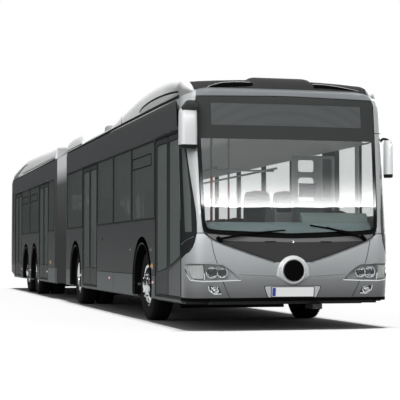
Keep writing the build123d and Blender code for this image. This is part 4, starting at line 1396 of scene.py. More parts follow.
# ---------- roof fairings ----------
HORN_TOP = (
    (-2.50, 2.930), (-1.50, 3.034), (-0.40, 3.118), (0.50, 3.142), (1.25, 3.127), (1.70, 3.087),
    (2.00, 3.037), (2.19, 2.975), (2.30, 2.905), (2.345, 2.845), (2.372, 2.790),
)
FRONT_FAIRING_TOP = (
    (0.09, 3.045), (0.35, 3.062), (1.20, 3.058), (1.55, 3.006), (1.72, 2.945), (1.80, 2.86),
)
REAR_FAIRING_TOP = (
    (-9.50, 2.86), (-9.42, 2.93), (-9.30, 2.972), (-8.70, 3.030), (-7.95, 3.085), (-7.20, 3.130),
    (-5.80, 3.138), (-3.50, 3.090), (-1.52, 3.050),
)
STRIP_INNER_Y = 0.88
NOSE_CORNER, TAIL_CORNER = 0.22, 0.23


def strip_section(top, outer, inner, base=2.772):
    """Section of a roof-edge fairing: (y, z) from the outside bottom over the top to the inside."""
    rise = top - base
    fall = min(0.20, rise * 0.8)
    fit = min(1.0, max(outer - inner - 0.02, 0.01) / 0.25)
    return [
        (outer, base), (outer, top - fall), (outer - 0.010 * fit, top - fall * 0.62),
        (outer - 0.036 * fit, top - fall * 0.32), (outer - 0.075 * fit, top - fall * 0.12),
        (outer - 0.125 * fit, top - fall * 0.02), (outer - 0.18 * fit, top),
        (inner + 0.05 * fit, top), (inner + 0.02 * fit, top - 0.01),
        (inner, top - 0.04 if rise > 0.08 else top - rise * 0.5), (inner, base),
    ]


def roof_strip(bm, tops, way, inner, outer_at, start=0.0, steps=3):
    """A fairing along one roof edge, lofted through sections."""
    rings = []
    for x, top in smooth_points(tops, steps):
        rings.append([
            Vector((start + x, way * y, z))
            for y, z in strip_section(top, outer_at(x), inner(x) if callable(inner) else inner)
        ])
    return add_loft(bm, rings)


def nose_side(x):
    """Half width of the roof's edge at a place ahead of axle 1, round the nose's corner."""
    corner_x = HORN_TOP[-1][0] - NOSE_CORNER
    if x <= corner_x:
        return ROOF_EDGE_Y
    far = min((x - corner_x) / (NOSE_CORNER + 1e-4), 0.999)
    return ROOF_EDGE_Y - NOSE_CORNER + NOSE_CORNER * math.sqrt(1 - far * far)


def tail_side(x):
    """Half width of the roof's edge at a place on the rear section, round the tail's corner."""
    far = min(max((-9.28 - x) / (TAIL_CORNER + 1e-4), 0.0), 0.96)
    return ROOF_EDGE_Y - TAIL_CORNER + TAIL_CORNER * math.sqrt(1 - far * far)


HOOD_CAP = (
    (1.96, 2.905), (1.97, 3.046), (2.04, 3.054), (2.12, 3.052), (2.20, 3.042), (2.262, 3.022),
    (2.305, 2.985), (2.322, 2.925),
)
HOOD_CAMBER = 0.030
HOOD_SLOTS = (
    (
        (-0.951, 2.917), (-0.901, 2.946), (-0.826, 2.970), (-0.738, 2.990), (-0.549, 3.002),
        (-0.409, 2.998), (-0.400, 2.953), (-0.738, 2.930),
    ),
    (
        (0.400, 3.000), (0.557, 2.998), (0.700, 2.984), (0.806, 2.968), (0.920, 2.949),
        (1.004, 2.933), (0.609, 2.950), (0.405, 2.948),
    ),
)


def hood_at(s, z, depth=0.0):
    """A point on the sloping front of the cab hood."""
    level = z + HOOD_CAMBER * s * s
    x = HOOD_CAP[-1][0]
    for (xa, za), (xb, zb) in zip(HOOD_CAP[3:], HOOD_CAP[4:]):
        if zb <= level <= za:
            x = xa + (xb - xa) * (za - level) / (za - zb)
    return Vector((AXLE_1 + x - s * s / 24 + depth, s, z))


def horn_inner(x):
    """Inner edge of a horn: it draws outward beside the hood's front."""
    share = min(max((x - 1.80) / 0.20, 0.0), 1.0)
    return min(0.93 + 0.185 * share, nose_side(x) - 0.05)


def build_roof_fairings():
    """The high fairings over the cab and along both sections' roof edges."""
    for name, body, tops, inner, outer_at, start, steps, stands_for in (
        ("horn", FRONT, HORN_TOP, horn_inner, nose_side, AXLE_1, 4, ("front_roof_units",)),
        ("front_roof", FRONT, FRONT_FAIRING_TOP, STRIP_INNER_Y, lambda x: ROOF_EDGE_Y, 0.0, 3, ()),
        ("rear_roof", REAR, REAR_FAIRING_TOP, STRIP_INNER_Y, tail_side, 0.0, 3,
         ("rear_roof_units",)),
    ):
        bm = bmesh.new()
        for way in (-1, 1):
            roof_strip(bm, tops, way, inner, outer_at, start, steps)
        finish_piece(f"{name}_fairings", bm, "horn_paint_white", body, stands_for, sharp=50)

    # Cab hood between the horns, with its raised middle and its scoops
    bm = bmesh.new()
    for y0, y1, profile in (
        (-0.925, 0.925, ((0.60, 2.905), (1.00, 2.960), (1.45, 3.012), (1.80, 3.026), (2.10, 3.024),
                         (2.20, 3.010), (2.262, 2.984), (2.300, 2.955), (2.312, 2.925))),
        (-1.125, 1.125, HOOD_CAP),
        (-0.395, 0.395, ((1.25, 2.92), (1.32, 3.02), (1.42, 3.062), (1.80, 3.082), (2.10, 3.084),
                         (2.20, 3.066), (2.262, 3.035), (2.305, 2.990), (2.325, 2.925))),
    ):
        rings = []
        stations = [y0, y0 + 0.012, y0 + 0.035, y0 + 0.08]
        stations += [y0 + 0.08 + (y1 - y0 - 0.16) * i / 8 for i in range(1, 8)]
        stations += [y1 - 0.08, y1 - 0.035, y1 - 0.012, y1]
        for y in stations:
            near = min(y - y0, y1 - y)
            drop = 0.028 * max(0.0, 1 - near / 0.08) ** 2
            if profile is HOOD_CAP:
                drop = 0.5 * drop + HOOD_CAMBER * y * y
            ring = [
                Vector((AXLE_1 + x - y * y / 24 - drop * 0.4, y, max(z - drop, 2.90)))
                for x, z in profile
            ]
            ring += [Vector((AXLE_1 + profile[-1][0] - y * y / 24, y, 2.895)),
                     Vector((AXLE_1 + profile[0][0], y, 2.895))]
            rings.append(ring)
        add_loft(bm, rings)
    finish_piece("cab_hood", bm, "hood_paint_dark", FRONT, sharp=45)
    bm, rim = bmesh.new(), bmesh.new()
    for slot in HOOD_SLOTS:
        line = smooth_points(slot, 3)
        add_panel(bm, hood_at, line, 0.004, lift=0.004, step=(0.06, 0.02))
        add_panel(
            rim, hood_at, ribbon(smooth_points(slot[:6], 3), 0.006), 0.004, lift=0.007,
            step=(0.06, 0.02),
        )
    finish_piece("hood_scoops", bm, "arch_liner_black", FRONT)
    finish_piece("hood_scoop_lips", rim, "fairing_paint_grey", FRONT)


def at_edge(side, y=ROOF_EDGE_Y):
    """A place on the outside of the roof fairings on one side."""
    def place(x, z, depth=0.0):
        return Vector((x, side * (y + depth), z))
    return place


PANEL_ARC = (
    (-0.24, 2.866), (-0.01, 2.907), (0.45, 2.931), (1.06, 2.929), (1.64, 2.906), (2.07, 2.874),
)
PANEL_FOOT = ((2.10, 2.862), (1.06, 2.846), (-0.24, 2.850))
LONG_STEP = (0.5, 1)
ROOF_SKIN_Z = 2.905
# Each unit: where it starts and ends, its half width and the height of its top
FRONT_PLANT = ((4.65, 6.30, 0.80, 3.075), (2.16, 3.40, 0.86, 3.105), (1.83, 2.14, 0.88, 3.155))
REAR_PLANT = ((-5.6, -2.6, 0.74, 3.035), (-8.3, -6.3, 0.68, 3.030))


def edge_band(bm, side, line, width, thick, lift, **options):
    """A band along one roof edge, through (x, z) places."""
    add_panel(bm, at_edge(side), ribbon(line, width), thick, lift=lift, **options)


def build_roof_panels():
    """Louvred panels, seams and cove lines on the fairings."""
    lens_top = smooth_points(PANEL_ARC, 4)
    bm, dark = bmesh.new(), bmesh.new()
    for side in (-1, 1):
        outline = [(AXLE_1 + x, z - 0.008) for x, z in lens_top]
        outline += [(AXLE_1 + x, z) for x, z in PANEL_FOOT]
        add_panel(bm, at_edge(side), outline, 0.008, lift=0.003, step=(0.3, 0.06))
        edge_band(dark, side, [(AXLE_1 + x, z + 0.006) for x, z in lens_top], 0.024, 0.006, 0.004)
    finish_piece("horn_side_panels", bm, "grille_paint_grey", FRONT)
    for side in (-1, 1):
        cove = [(0.10, 2.797), (3.0, 2.806), (5.6, 2.820), (8.0, 2.822), (9.20, 2.818)]
        edge_band(dark, side, cove, 0.034, 0.010, 0.005, step=LONG_STEP)
        upper = [(AXLE_1 - 6.95, 2.84), (AXLE_1 - 5.3, 2.842)]
        edge_band(dark, side, upper, 0.012, 0.006, 0.004, step=LONG_STEP)
        for x in (AXLE_1 - 1.6, AXLE_1 + 0.35):
            edge_band(dark, side, [(x, 2.80), (x, 2.95)], 0.008, 0.004, 0.003)
    finish_piece("front_roof_seams", dark, "seal_rubber", FRONT)
    bm = bmesh.new()
    rear_arc = smooth_points([(-8.05, 2.885), (-7.6, 2.945), (-7.0, 2.99), (-6.3, 3.01)], 4)
    for side in (-1, 1):
        cove = [(-9.20, 2.780), (-5.0, 2.786), (-1.53, 2.797)]
        edge_band(bm, side, cove, 0.034, 0.010, 0.005, step=LONG_STEP)
        edge_band(bm, side, [(-7.10, 2.838), (-1.60, 2.832)], 0.012, 0.006, 0.004, step=LONG_STEP)
        line = [(x, side * (1.264 - 0.9 * max(0.0, z - 2.96) ** 1.35), z) for x, z in rear_arc]
        add_sweep(bm, line, 0.013, 6)
    add_block(bm, (-9.74, -1.12, 2.795), (-9.58, -0.98, 2.86), 0.01)
    finish_piece("rear_roof_seams", bm, "seal_rubber", REAR)


def build_roof_louvres():
    """Slats along the rear fairings, and the louvred ends that face the joint."""
    bm = bmesh.new()
    for side in (-1, 1):
        slat = bmesh.new()
        edge = side * ROOF_EDGE_Y
        add_block(slat, (-7.33, edge - 0.006, 2.858), (-7.13, edge + 0.006, 2.878), 0.003)
        add_repeated(bm, slat, "row", 24, (0.233, 0, 0), "grille_paint_grey")
    for side in (-1, 1):
        low, high = sorted((side * 0.92, side * 1.225))
        add_block(bm, (-1.524, low, 2.83), (-1.512, high, 3.028), 0.003, slot=1)
        slat = bmesh.new()
        add_block(slat, (-1.512, low + 0.02, 2.850), (-1.505, high - 0.02, 2.862), 0.002)
        add_repeated(bm, slat, "row", 7, (0, 0, 0.025), "grille_paint_grey")
    finish_piece("rear_roof_louvres", bm, ["grille_paint_grey", "louvre_paint_dark"], REAR)


def build_roof_plant():
    """The units on the roof between the fairings, with slats on the long ones."""
    for name, body, rows in (
        ("front_roof_plant", FRONT, FRONT_PLANT), ("rear_roof_plant", REAR, REAR_PLANT),
    ):
        bm = bmesh.new()
        for x0, x1, half, top in rows:
            rings = []
            for x, fill in ((x0, 0.86), (x0 + 0.03, 0.95), (x0 + 0.10, 1.0), (x1 - 0.10, 1.0),
                            (x1 - 0.03, 0.95), (x1, 0.86)):
                high = ROOF_SKIN_Z + (top - ROOF_SKIN_Z) * fill
                outline = rect(-half * fill, half * fill, ROOF_SKIN_Z, high)
                ring = rounded(outline, [0.0, 0.0, 0.07, 0.07], 5)
                rings.append([Vector((x, y, z)) for y, z in ring])
            add_loft(bm, rings, slot=0)
            width = min(half * 1.2, 0.9)
            count = int((x1 - x0 - 0.3) / 0.05)
            if count > 3:
                slat = bmesh.new()
                low = (x0 + 0.15, -width / 2, top - 0.004)
                add_block(slat, low, (x0 + 0.172, width / 2, top + 0.010), 0.003)
                add_repeated(bm, slat, "row", count, (0.05, 0, 0), "trim_plastic_black", 1)
        finish_piece(name, bm, ["roof_paint_grey", "trim_plastic_black"], body)


# ---------- the sides ----------
WINDOWS = {
    ("right", FRONT): ((0.200, 1.950), (3.490, 4.890), (4.940, 6.310), (6.360, 7.850)),
    ("left", FRONT): (
        (0.200, 1.600), (1.650, 3.050), (3.100, 4.500), (4.550, 5.950), (6.000, 7.400),
        (7.900, 9.280),
    ),
    ("right", REAR): ((-2.470, -1.620), (-5.620, -4.020), (-7.230, -5.670)),
    ("left", REAR): ((-3.100, -1.620), (-4.700, -3.150), (-6.300, -4.750), (-7.900, -6.350)),
}


def skin_at(side):
    """A place on the outside of the side walls."""
    return right_at if side == "right" else left_at


def arch_line(n, radius):
    """The arc of one axle's wheel arch, from skirt to skirt."""
    centre = AXLES[n] + ARCH_SHIFT.get(n, 0.0)
    low = math.asin((0.335 - ARCH_Z) / radius)
    turns = [low + (math.pi - 2 * low) * i / 30 for i in range(31)]
    return [(centre + radius * math.cos(turn), ARCH_Z + radius * math.sin(turn)) for turn in turns]


# Each section: its body, its tag, where its skirt joint starts and ends, and its axles and doors
SECTIONS = ((FRONT, "front", 0.08, 9.345, (1, 2)), (REAR, "rear", -8.55, -1.51, (3, 4)))
REFLECTORS = {FRONT: (AXLE_1 + 0.706, AXLE_1 - 2.463, AXLE_1 - 5.243), REAR: (-2.6, -5.45, -7.2)}
MARKERS = {FRONT: (AXLE_1 + 0.675, 0.745), REAR: (-2.045, 0.73)}
FLAPS = {FRONT: (0.62, 3.05), REAR: (-3.05, -7.3)}
FILLER_CAP = (7.66, 0.965)
LOCK = (3.971, 1.138)


def window_rubber(bm, at, a, b, vent):
    """The rubber round a window, and round its vent where it has one."""
    outer = rounded(rect(a - 0.012, b + 0.012, 1.358, 2.402), 0.05)
    inner = rounded(rect(a + 0.010, b - 0.010, 1.380, 2.380), 0.04)
    add_panel(bm, at, outer, 0.010, (inner,), lift=0.0035)
    if vent:
        c = min(b - 0.05, a + 1.32)
        frame_edge, light = [
            rounded(rect(a + g, c - g, 2.06 + g, 2.26 - g), 0.03)
            for g in (0.018, 0.034)
        ]
        add_panel(bm, at, frame_edge, 0.008, (light,), lift=0.002)


def skirt_joints(bm, at, gaps, low, high):
    """The joint over the skirt between wheels and doors, and the upright joints below it."""
    for start, end in zip([low, *(gap[1] for gap in gaps)], [*(gap[0] for gap in gaps), high]):
        start = max(start, low)
        if end - start <= 0.05:
            continue
        add_panel(
            bm, at, ribbon([(start, SKIRT_TOP), (end, SKIRT_TOP)], 0.010), 0.004, lift=0.0016,
            step=(0.8, 1),
        )
        count = max(1, round((end - start) / 1.8))
        for i in range(1, count):
            x = start + (end - start) * i / count
            add_panel(bm, at, ribbon([(x, 0.335), (x, 0.617)], 0.006), 0.004, lift=0.0012)


def build_side_trim():
    """Rubber joints round the windows, skirt lines, reflectors, markers, flaps and handles."""
    for body, tag, low, high, numbers in SECTIONS:
        rubbers, skirts, orange, amber, steel, flaps = (bmesh.new() for _ in range(6))
        for side, way in (("right", -1), ("left", 1)):
            at, out = skin_at(side), (0, way, 0)
            for a, b in WINDOWS[side, body]:
                window_rubber(
                    rubbers, at, a, b, b - a > 1.2 and body == REAR or (a, b) == (6.360, 7.850),
                )
            gaps = [(AXLES[n] - 0.66, AXLES[n] + 0.66) for n in numbers]
            if side == "right":
                gaps += [(DOORS[n] - 0.01, DOORS[n] + DOOR_WIDTH + 0.01) for n in numbers]
            skirt_joints(skirts, at, sorted(gaps), low, high)
            for x in REFLECTORS[body]:
                lens_shape = rounded(rect(x - 0.055, x + 0.055, 0.512, 0.548), 0.012, 3)
                add_panel(orange, at, lens_shape, 0.008, lift=0.008, edge=0.003)
            x, z = MARKERS[body]
            spot = (x, way * HALF, z)
            add_lathe(
                amber, spot, out,
                ((-0.004, 0.034), (0.004, 0.034), (0.016, 0.028), (0.024, 0.018), (0.028, 0.0)), 24,
            )
            add_lathe(
                steel, spot, out, ((-0.004, 0.046), (0.004, 0.046), (0.007, 0.042), (0.007, 0.030)),
                24,
            )
            if body == FRONT:
                (x, z), (lock_x, lock_z) = FILLER_CAP, LOCK
                cap = ((-0.003, 0.022), (0.005, 0.022), (0.008, 0.017), (0.008, 0.0))
                add_lathe(steel, (x, way * HALF, z), out, cap, 20)
                disc = ((-0.003, 0.024), (0.004, 0.024), (0.006, 0.020), (0.006, 0.0))
                add_lathe(flaps, (lock_x, way * HALF, lock_z), out, disc, 20)
                add_block(steel, (6.215, way * 1.273, 0.957), (6.305, way * 1.283, 0.972), 0.003)
            for x in FLAPS[body]:
                joint = ribbon([(x, 0.63), (x, 1.30), (x + 0.01, 1.30)], 0.006)
                add_panel(flaps, at, joint, 0.003, lift=0.0012)
        finish_piece(f"{tag}_window_rubbers", rubbers, "seal_rubber", body)
        finish_piece(f"{tag}_skirt_joints", skirts, "seal_rubber", body)
        finish_piece(f"{tag}_flap_joints", flaps, "seal_rubber", body)
        finish_piece(f"{tag}_side_reflectors", orange, "orange_reflector", body)
        finish_piece(f"{tag}_side_markers", amber, "amber_lens", body)
        finish_piece(f"{tag}_marker_rims", steel, "brushed_steel", body)


def build_post():
    """The post between the panes beside the driver."""
    bm = bmesh.new()
    add_panel(bm, left_at, rect(8.620, 8.750, 1.370, 2.390), 0.030, lift=0.002, edge=0.002)
    add_block(bm, (8.625, 1.225, 1.370), (8.745, 1.244, 2.390), 0.004, slot=1)
    finish_piece("driver_window_post", bm, ["seal_rubber", "ceiling_laminate"], FRONT)


def build_arches():
    """Arch mouldings and liners on both sides of every axle."""
    for body, numbers in ((FRONT, (1, 2)), (REAR, (3, 4))):
        bm = bmesh.new()
        for n in numbers:
            for side in ("right", "left"):
                ring = [arch_line(n, radius) for radius in (0.650, 0.562)]
                add_panel(bm, skin_at(side), ring[0] + ring[1][::-1], 0.02, lift=0.0, edge=0.0)
                add_sweep(bm, [skin_at(side)(x, z, -0.005) for x, z in ring[1]], 0.011, 6, slot=1)
        finish_piece(
            f"{body}_arch_mouldings", bm, ["arch_plastic_grey", "trim_plastic_black"], body,
        )
        bm = bmesh.new()
        for n in numbers:
            for way in (-1, 1):
                section = arch_line(n, 0.560) + arch_line(n, 0.556)[::-1]
                ys = (HALF - 0.013, 0.60 if n in (1, 4) else 0.50)
                add_loft(bm, [[Vector((x, way * y, z)) for x, z in section] for y in ys])
        finish_piece(f"{body}_arch_liners", bm, "arch_liner_black", body)


# ---------- doors ----------
def door_at(x, z, depth=0.0):
    """A point on the outside of the closed door leaves."""
    return Vector((x, -DOOR_Y - depth, z))


def build_doors():
    """Each door leaf: frame, pane, rubbers and grab bar."""
    sizes = bpy.context.scene.bus_sizes
    for n, rear_x in DOORS.items():
        middle = rear_x + DOOR_WIDTH / 2
        for leaf, x0, x1 in (
            ("rear", rear_x + 0.008, middle - 0.004),
            ("front", middle + 0.004, rear_x + DOOR_WIDTH - 0.008),
        ):
            body = f"door_{n}_{leaf}"
            z0, z1 = DOOR_LOW, DOOR_HIGH
            outer = rounded(rect(x0 + 0.016, x1 - 0.004, z0, z1)
                            if leaf == "rear" else
                            rect(x0 + 0.004, x1 - 0.016, z0, z1), 0.03)
            low = [
                0.66 + (0.22 * max(0.0, (x - 8.05) / 1.3) ** 1.5 if n == 1 else 0.0)
                for x in (x0 + 0.062, x1 - 0.050)
            ]
            pane = rounded([(x0 + 0.062, low[0]), (x1 - 0.050, low[1]), (x1 - 0.050, z1 - 0.062),
                            (x0 + 0.062, z1 - 0.062)], 0.04)
            bm = bmesh.new()
            add_panel(bm, door_at, outer, 0.040, (pane,), lift=0.0, edge=0.003)
            finish_piece(f"{body}_frame", bm, "door_enamel_grey", body, (body,))
            bm = bmesh.new()
            add_panel(bm, door_at, pane, 0.006, lift=-0.006, step=(0.2, 0.4))
            finish_piece(f"{body}_pane", bm, "door_glass_tinted", body)
            bm = bmesh.new()
            inner = rounded(
                [
                    (x0 + 0.074, low[0] + 0.012), (x1 - 0.062, low[1] + 0.012),
                    (x1 - 0.062, z1 - 0.074), (x0 + 0.074, z1 - 0.074),
                ],
                0.03,
            )
            add_panel(bm, door_at, pane, 0.012, (inner,), lift=0.0012)
            edge_x = x1 - 0.006 if leaf == "rear" else x0 + 0.006
            add_block(
                bm, (edge_x - 0.006, -1.269, z0 + 0.01), (edge_x + 0.006, -1.232, z1 - 0.01), 0.002,
            )
            finish_piece(f"{body}_rubbers", bm, "seal_rubber", body)
            bm = bmesh.new()
            side_x = x1 - 0.10 if leaf == "rear" else x0 + 0.10
            foot = 1.33 if body == "door_1_front" else 0.86
            bar = smooth_line(
                [
                    (side_x, -1.232, foot), (side_x, -1.205, foot + 0.06),
                    (side_x, -1.202, foot / 2 + 0.89), (side_x, -1.205, 1.72),
                    (side_x, -1.232, 1.78),
                ],
                4,
            )
            add_sweep(bm, bar, sizes.grab_bar_radius, 8, up=(0, 1, 0))
            finish_piece(f"{body}_grab_bar", bm, "handrail_coating_red", body)

    # Rubber seals and thresholds round each doorway
    for body, numbers in ((FRONT, (1, 2)), (REAR, (3, 4))):
        bm = bmesh.new()
        for n in numbers:
            a, b = DOORS[n], DOORS[n] + DOOR_WIDTH
            outer = rect(a - 0.016, b + 0.016, 0.352, 2.412)
            inner = rect(a + 0.003, b - 0.003, 0.384, 2.382)
            add_panel(bm, right_at, outer, 0.008, (inner,), lift=0.0035)
            add_block(bm, (a + 0.01, -1.268, 0.345), (b - 0.01, -1.20, 0.3715), 0.004, slot=1)
        finish_piece(f"{body}_door_seals", bm, ["seal_rubber", "trim_plastic_black"], body)
        bm = bmesh.new()
        for n in numbers:
            a, b = DOORS[n], DOORS[n] + DOOR_WIDTH
            add_panel(
                bm, right_at, ribbon([(a - 0.02, 2.424), (b + 0.02, 2.424)], 0.014), 0.005,
                lift=0.004,
            )
        finish_piece(f"{body}_door_gutters", bm, "brushed_steel", body)


# ---------- wheels ----------
TYRE_HALF = 0.1375
OUTER_TYRE, INNER_TYRE = 1.0625, 0.7445
SHOULDER = (
    (TYRE_HALF - 0.040, 0.4738), (TYRE_HALF - 0.020, 0.464), (TYRE_HALF - 0.004, 0.440),
    (TYRE_HALF, 0.412), (TYRE_HALF - 0.003, 0.408), (TYRE_HALF - 0.003, 0.400), (TYRE_HALF, 0.395),
    (TYRE_HALF, 0.330), (TYRE_HALF - 0.002, 0.300), (TYRE_HALF - 0.010, 0.2865),
)
CROWN = (
    (0.004, 0.4660), (0.006, 0.4780), (0.038, 0.4778), (0.042, 0.4660), (0.050, 0.4660),
    (0.055, 0.4776), *SHOULDER
)
TYRE_PROFILE = (*((-y, r) for y, r in reversed(CROWN)), *CROWN)
# Rims by whether they carry twin tyres: section, hub cap, ring and place of the nuts, and the
# radius, ring, place and slope of the hand holes
RIMS = {
    True: (
        (
            (-0.441, 0.270), (-0.441, 0.286), (-0.05, 0.286), (0.123, 0.286), (0.127, 0.279),
            (0.119, 0.272), (0.100, 0.268), (0.085, 0.262), (0.055, 0.262), (0.020, 0.250),
            (-0.020, 0.226), (-0.062, 0.190), (-0.085, 0.160), (-0.088, 0.140), (-0.080, 0.130),
            (-0.110, 0.110), (-0.125, 0.200), (-0.12, 0.250), (-0.2, 0.262), (-0.43, 0.262),
        ),
        (
            (-0.10, 0.128), (-0.078, 0.126), (-0.074, 0.095), (-0.060, 0.090), (0.010, 0.088),
            (0.055, 0.080), (0.072, 0.060), (0.078, 0.030), (0.079, 0.0),
        ),
        (0.112, -0.072), (0.026, 0.207, -0.040, 0.70),
    ),
    False: (
        (
            (-0.123, 0.262), (-0.125, 0.280), (-0.123, 0.286), (0.123, 0.286), (0.127, 0.279),
            (0.119, 0.272), (0.108, 0.266), (0.104, 0.258), (0.118, 0.245), (0.132, 0.225),
            (0.140, 0.200), (0.143, 0.170), (0.144, 0.120), (0.130, 0.118), (0.128, 0.170),
            (0.118, 0.215), (0.095, 0.245), (0.080, 0.262),
        ),
        (
            (0.120, 0.128), (0.146, 0.126), (0.154, 0.118), (0.160, 0.100), (0.176, 0.094),
            (0.185, 0.080), (0.189, 0.050), (0.190, 0.0),
        ),
        (0.155, 0.142), (0.030, 0.208, 0.134, 0.35),
    ),
}
NUT = (
    (-0.006, 0.017), (0.004, 0.017), (0.006, 0.014), (0.022, 0.013), (0.026, 0.009), (0.026, 0.0),
)


def add_tyre(bm, centre, way, blocks):
    """A tyre with three grooves and a ring of blocks on each shoulder."""
    add_lathe(bm, centre, (0, way, 0), TYRE_PROFILE, 96, closed=True)
    block, ring = bmesh.new(), bmesh.new()
    for side in (-1, 1):
        add_block(
            block, (-0.004, side * 0.080, 0.4600), (0.004, side * (TYRE_HALF - 0.012), 0.4705),
        )
    add_repeated(ring, block, "ring", blocks, (0, 0, 0), "tyre_rubber")
    bmesh.ops.translate(ring, vec=centre, verts=ring.verts)
    absorb(bm, ring)


def rim_fittings(twin, way, sizes):
    """Black discs in the hand holes, painted shade in the openings, and chrome nuts on the face of
    a rim.
    """
    (nut_ring, nut_at), (hole_r, hole_ring, hole_at, slope) = RIMS[twin][2:]
    bm, hole, nut, nuts = (bmesh.new() for _ in range(4))
    # Painted shade: a black disc closes each hand hole where the opening would be dark
    add_lathe(
        hole, (hole_ring, 0, 0), (slope, 1, 0), ((-0.012, hole_r), (0.0035, hole_r), (0.0035, 0.0)),
        20,
    )
    add_repeated(bm, hole, "ring", sizes.hand_holes, (0, 0, 0), "trim_plastic_black")
    add_lathe(nut, (nut_ring, 0, 0), (0, 1, 0), NUT, 6)
    add_repeated(nuts, nut, "ring", sizes.wheel_nuts, (0, 0, 0), "chrome_plate", 1)
    bmesh.ops.translate(nuts, vec=(0, nut_at - hole_at, 0), verts=nuts.verts)
    absorb(bm, nuts)
    bmesh.ops.translate(bm, vec=(0, hole_at, 0), verts=bm.verts)
    if way < 0:
        bmesh.ops.scale(bm, vec=(1, -1, 1), verts=bm.verts)
        bmesh.ops.reverse_faces(bm, faces=bm.faces)
    return bm


def build_wheels():
    """Tyres with tread, and rims with hand holes, nuts and hub caps."""
    sizes = bpy.context.scene.bus_sizes
    for n in AXLES:
        twin = n in (2, 3)
        for side, way in (("left", 1), ("right", -1)):
            body, axis = f"wheel_{n}_{side}", (0, way, 0)
            here = Vector((AXLES[n], way * OUTER_TYRE, TYRE_R))
            bm = bmesh.new()
            for y in (OUTER_TYRE, INNER_TYRE) if twin else (OUTER_TYRE,):
                add_tyre(bm, Vector((AXLES[n], way * y, TYRE_R)), way, sizes.tread_blocks)
            finish_piece(
                f"tyre_{n}_{side}_finished", bm, "tyre_rubber", body, (f"tyre_{n}_{side}",),
                sharp=40,
            )
            bm = bmesh.new()
            add_lathe(bm, here, axis, RIMS[twin][0], 72, closed=True)
            add_lathe(bm, here, axis, RIMS[twin][1])
            finish_piece(
                f"rim_{n}_{side}_finished", bm, "wheel_polished", body, (f"rim_{n}_{side}",),
                sharp=40,
            )
            bm = rim_fittings(twin, way, sizes)
            bmesh.ops.translate(bm, vec=here, verts=bm.verts)
            finish_piece(
                f"rim_{n}_{side}_fittings", bm, ["trim_plastic_black", "chrome_plate"], body,
                sharp=40,
            )


# ---------- the bellows ----------
def build_bellows():
    """A folded bellows between the two sections."""
    count = bpy.context.scene.bus_sizes.bellows_folds
    pitch = (0.055 + 1.485) / count

    def ring_at(x, inset):
        outline = rounded(
            [
                (-1.240 + inset, 0.330), (-1.240 + inset, 2.800 - inset * 0.4),
                (-0.980 + inset * 0.4, 3.005 - inset), (0.980 - inset * 0.4, 3.005 - inset),
                (1.240 - inset, 2.800 - inset * 0.4), (1.240 - inset, 0.330),
            ],
            [0.0, 0.10, 0.14, 0.14, 0.10, 0.0], 5,
        )
        lining = [
            (y * (1 - 0.020 / max(abs(y), 0.3)), z - 0.020 if z > 1 else z)
            for y, z in outline
        ]
        return [Vector((x, y, z)) for y, z in outline] + [
            Vector((x, y, z))
            for y, z in reversed(lining)
        ]

    bm = bmesh.new()
    add_loft(
        bm, [ring_at(0.055 - i * pitch / 2, 0.0 if i % 2 else 0.060) for i in range(count * 2 + 1)],
    )
    piece = add_object("bellows_folds", bm, "bellows_cloth", 55)
    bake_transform(piece)
    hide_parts("bellows")


# ---------- inside ----------
SEAT_LOW, SEAT_HIGH = 0.830, 1.190
AISLE_Y, SEAT_PITCH, SEAT_WIDTH = 0.30, 0.43, 0.415
# Up a seat's back: share of its height, lean, and share of its width
SEAT_BACK = (
    (0.0, 0.0, 0.96), (0.08, -0.006, 1.0), (0.5, -0.012, 1.0), (0.85, -0.03, 0.94),
    (0.97, -0.04, 0.82), (1.0, -0.042, 0.70),
)
FRONT_SEATS = (
    (6.800, -1, SEAT_HIGH), (5.750, -1, SEAT_LOW), (4.950, -1, SEAT_LOW), (4.150, -1, SEAT_LOW),
    (1.050, -1, SEAT_HIGH), (6.800, 1, SEAT_HIGH), (5.750, 1, SEAT_LOW), (4.950, 1, SEAT_LOW),
    (4.150, 1, SEAT_LOW), (3.350, 1, SEAT_LOW), (2.550, 1, SEAT_LOW), (1.050, 1, SEAT_HIGH),
)
REAR_SEATS = (
    (-4.850, -1, SEAT_HIGH), (-6.450, -1, SEAT_HIGH), (-2.400, 1, SEAT_LOW), (-3.300, 1, SEAT_LOW),
    (-4.850, 1, SEAT_HIGH), (-6.450, 1, SEAT_HIGH), (-7.700, 1, SEAT_LOW),
)


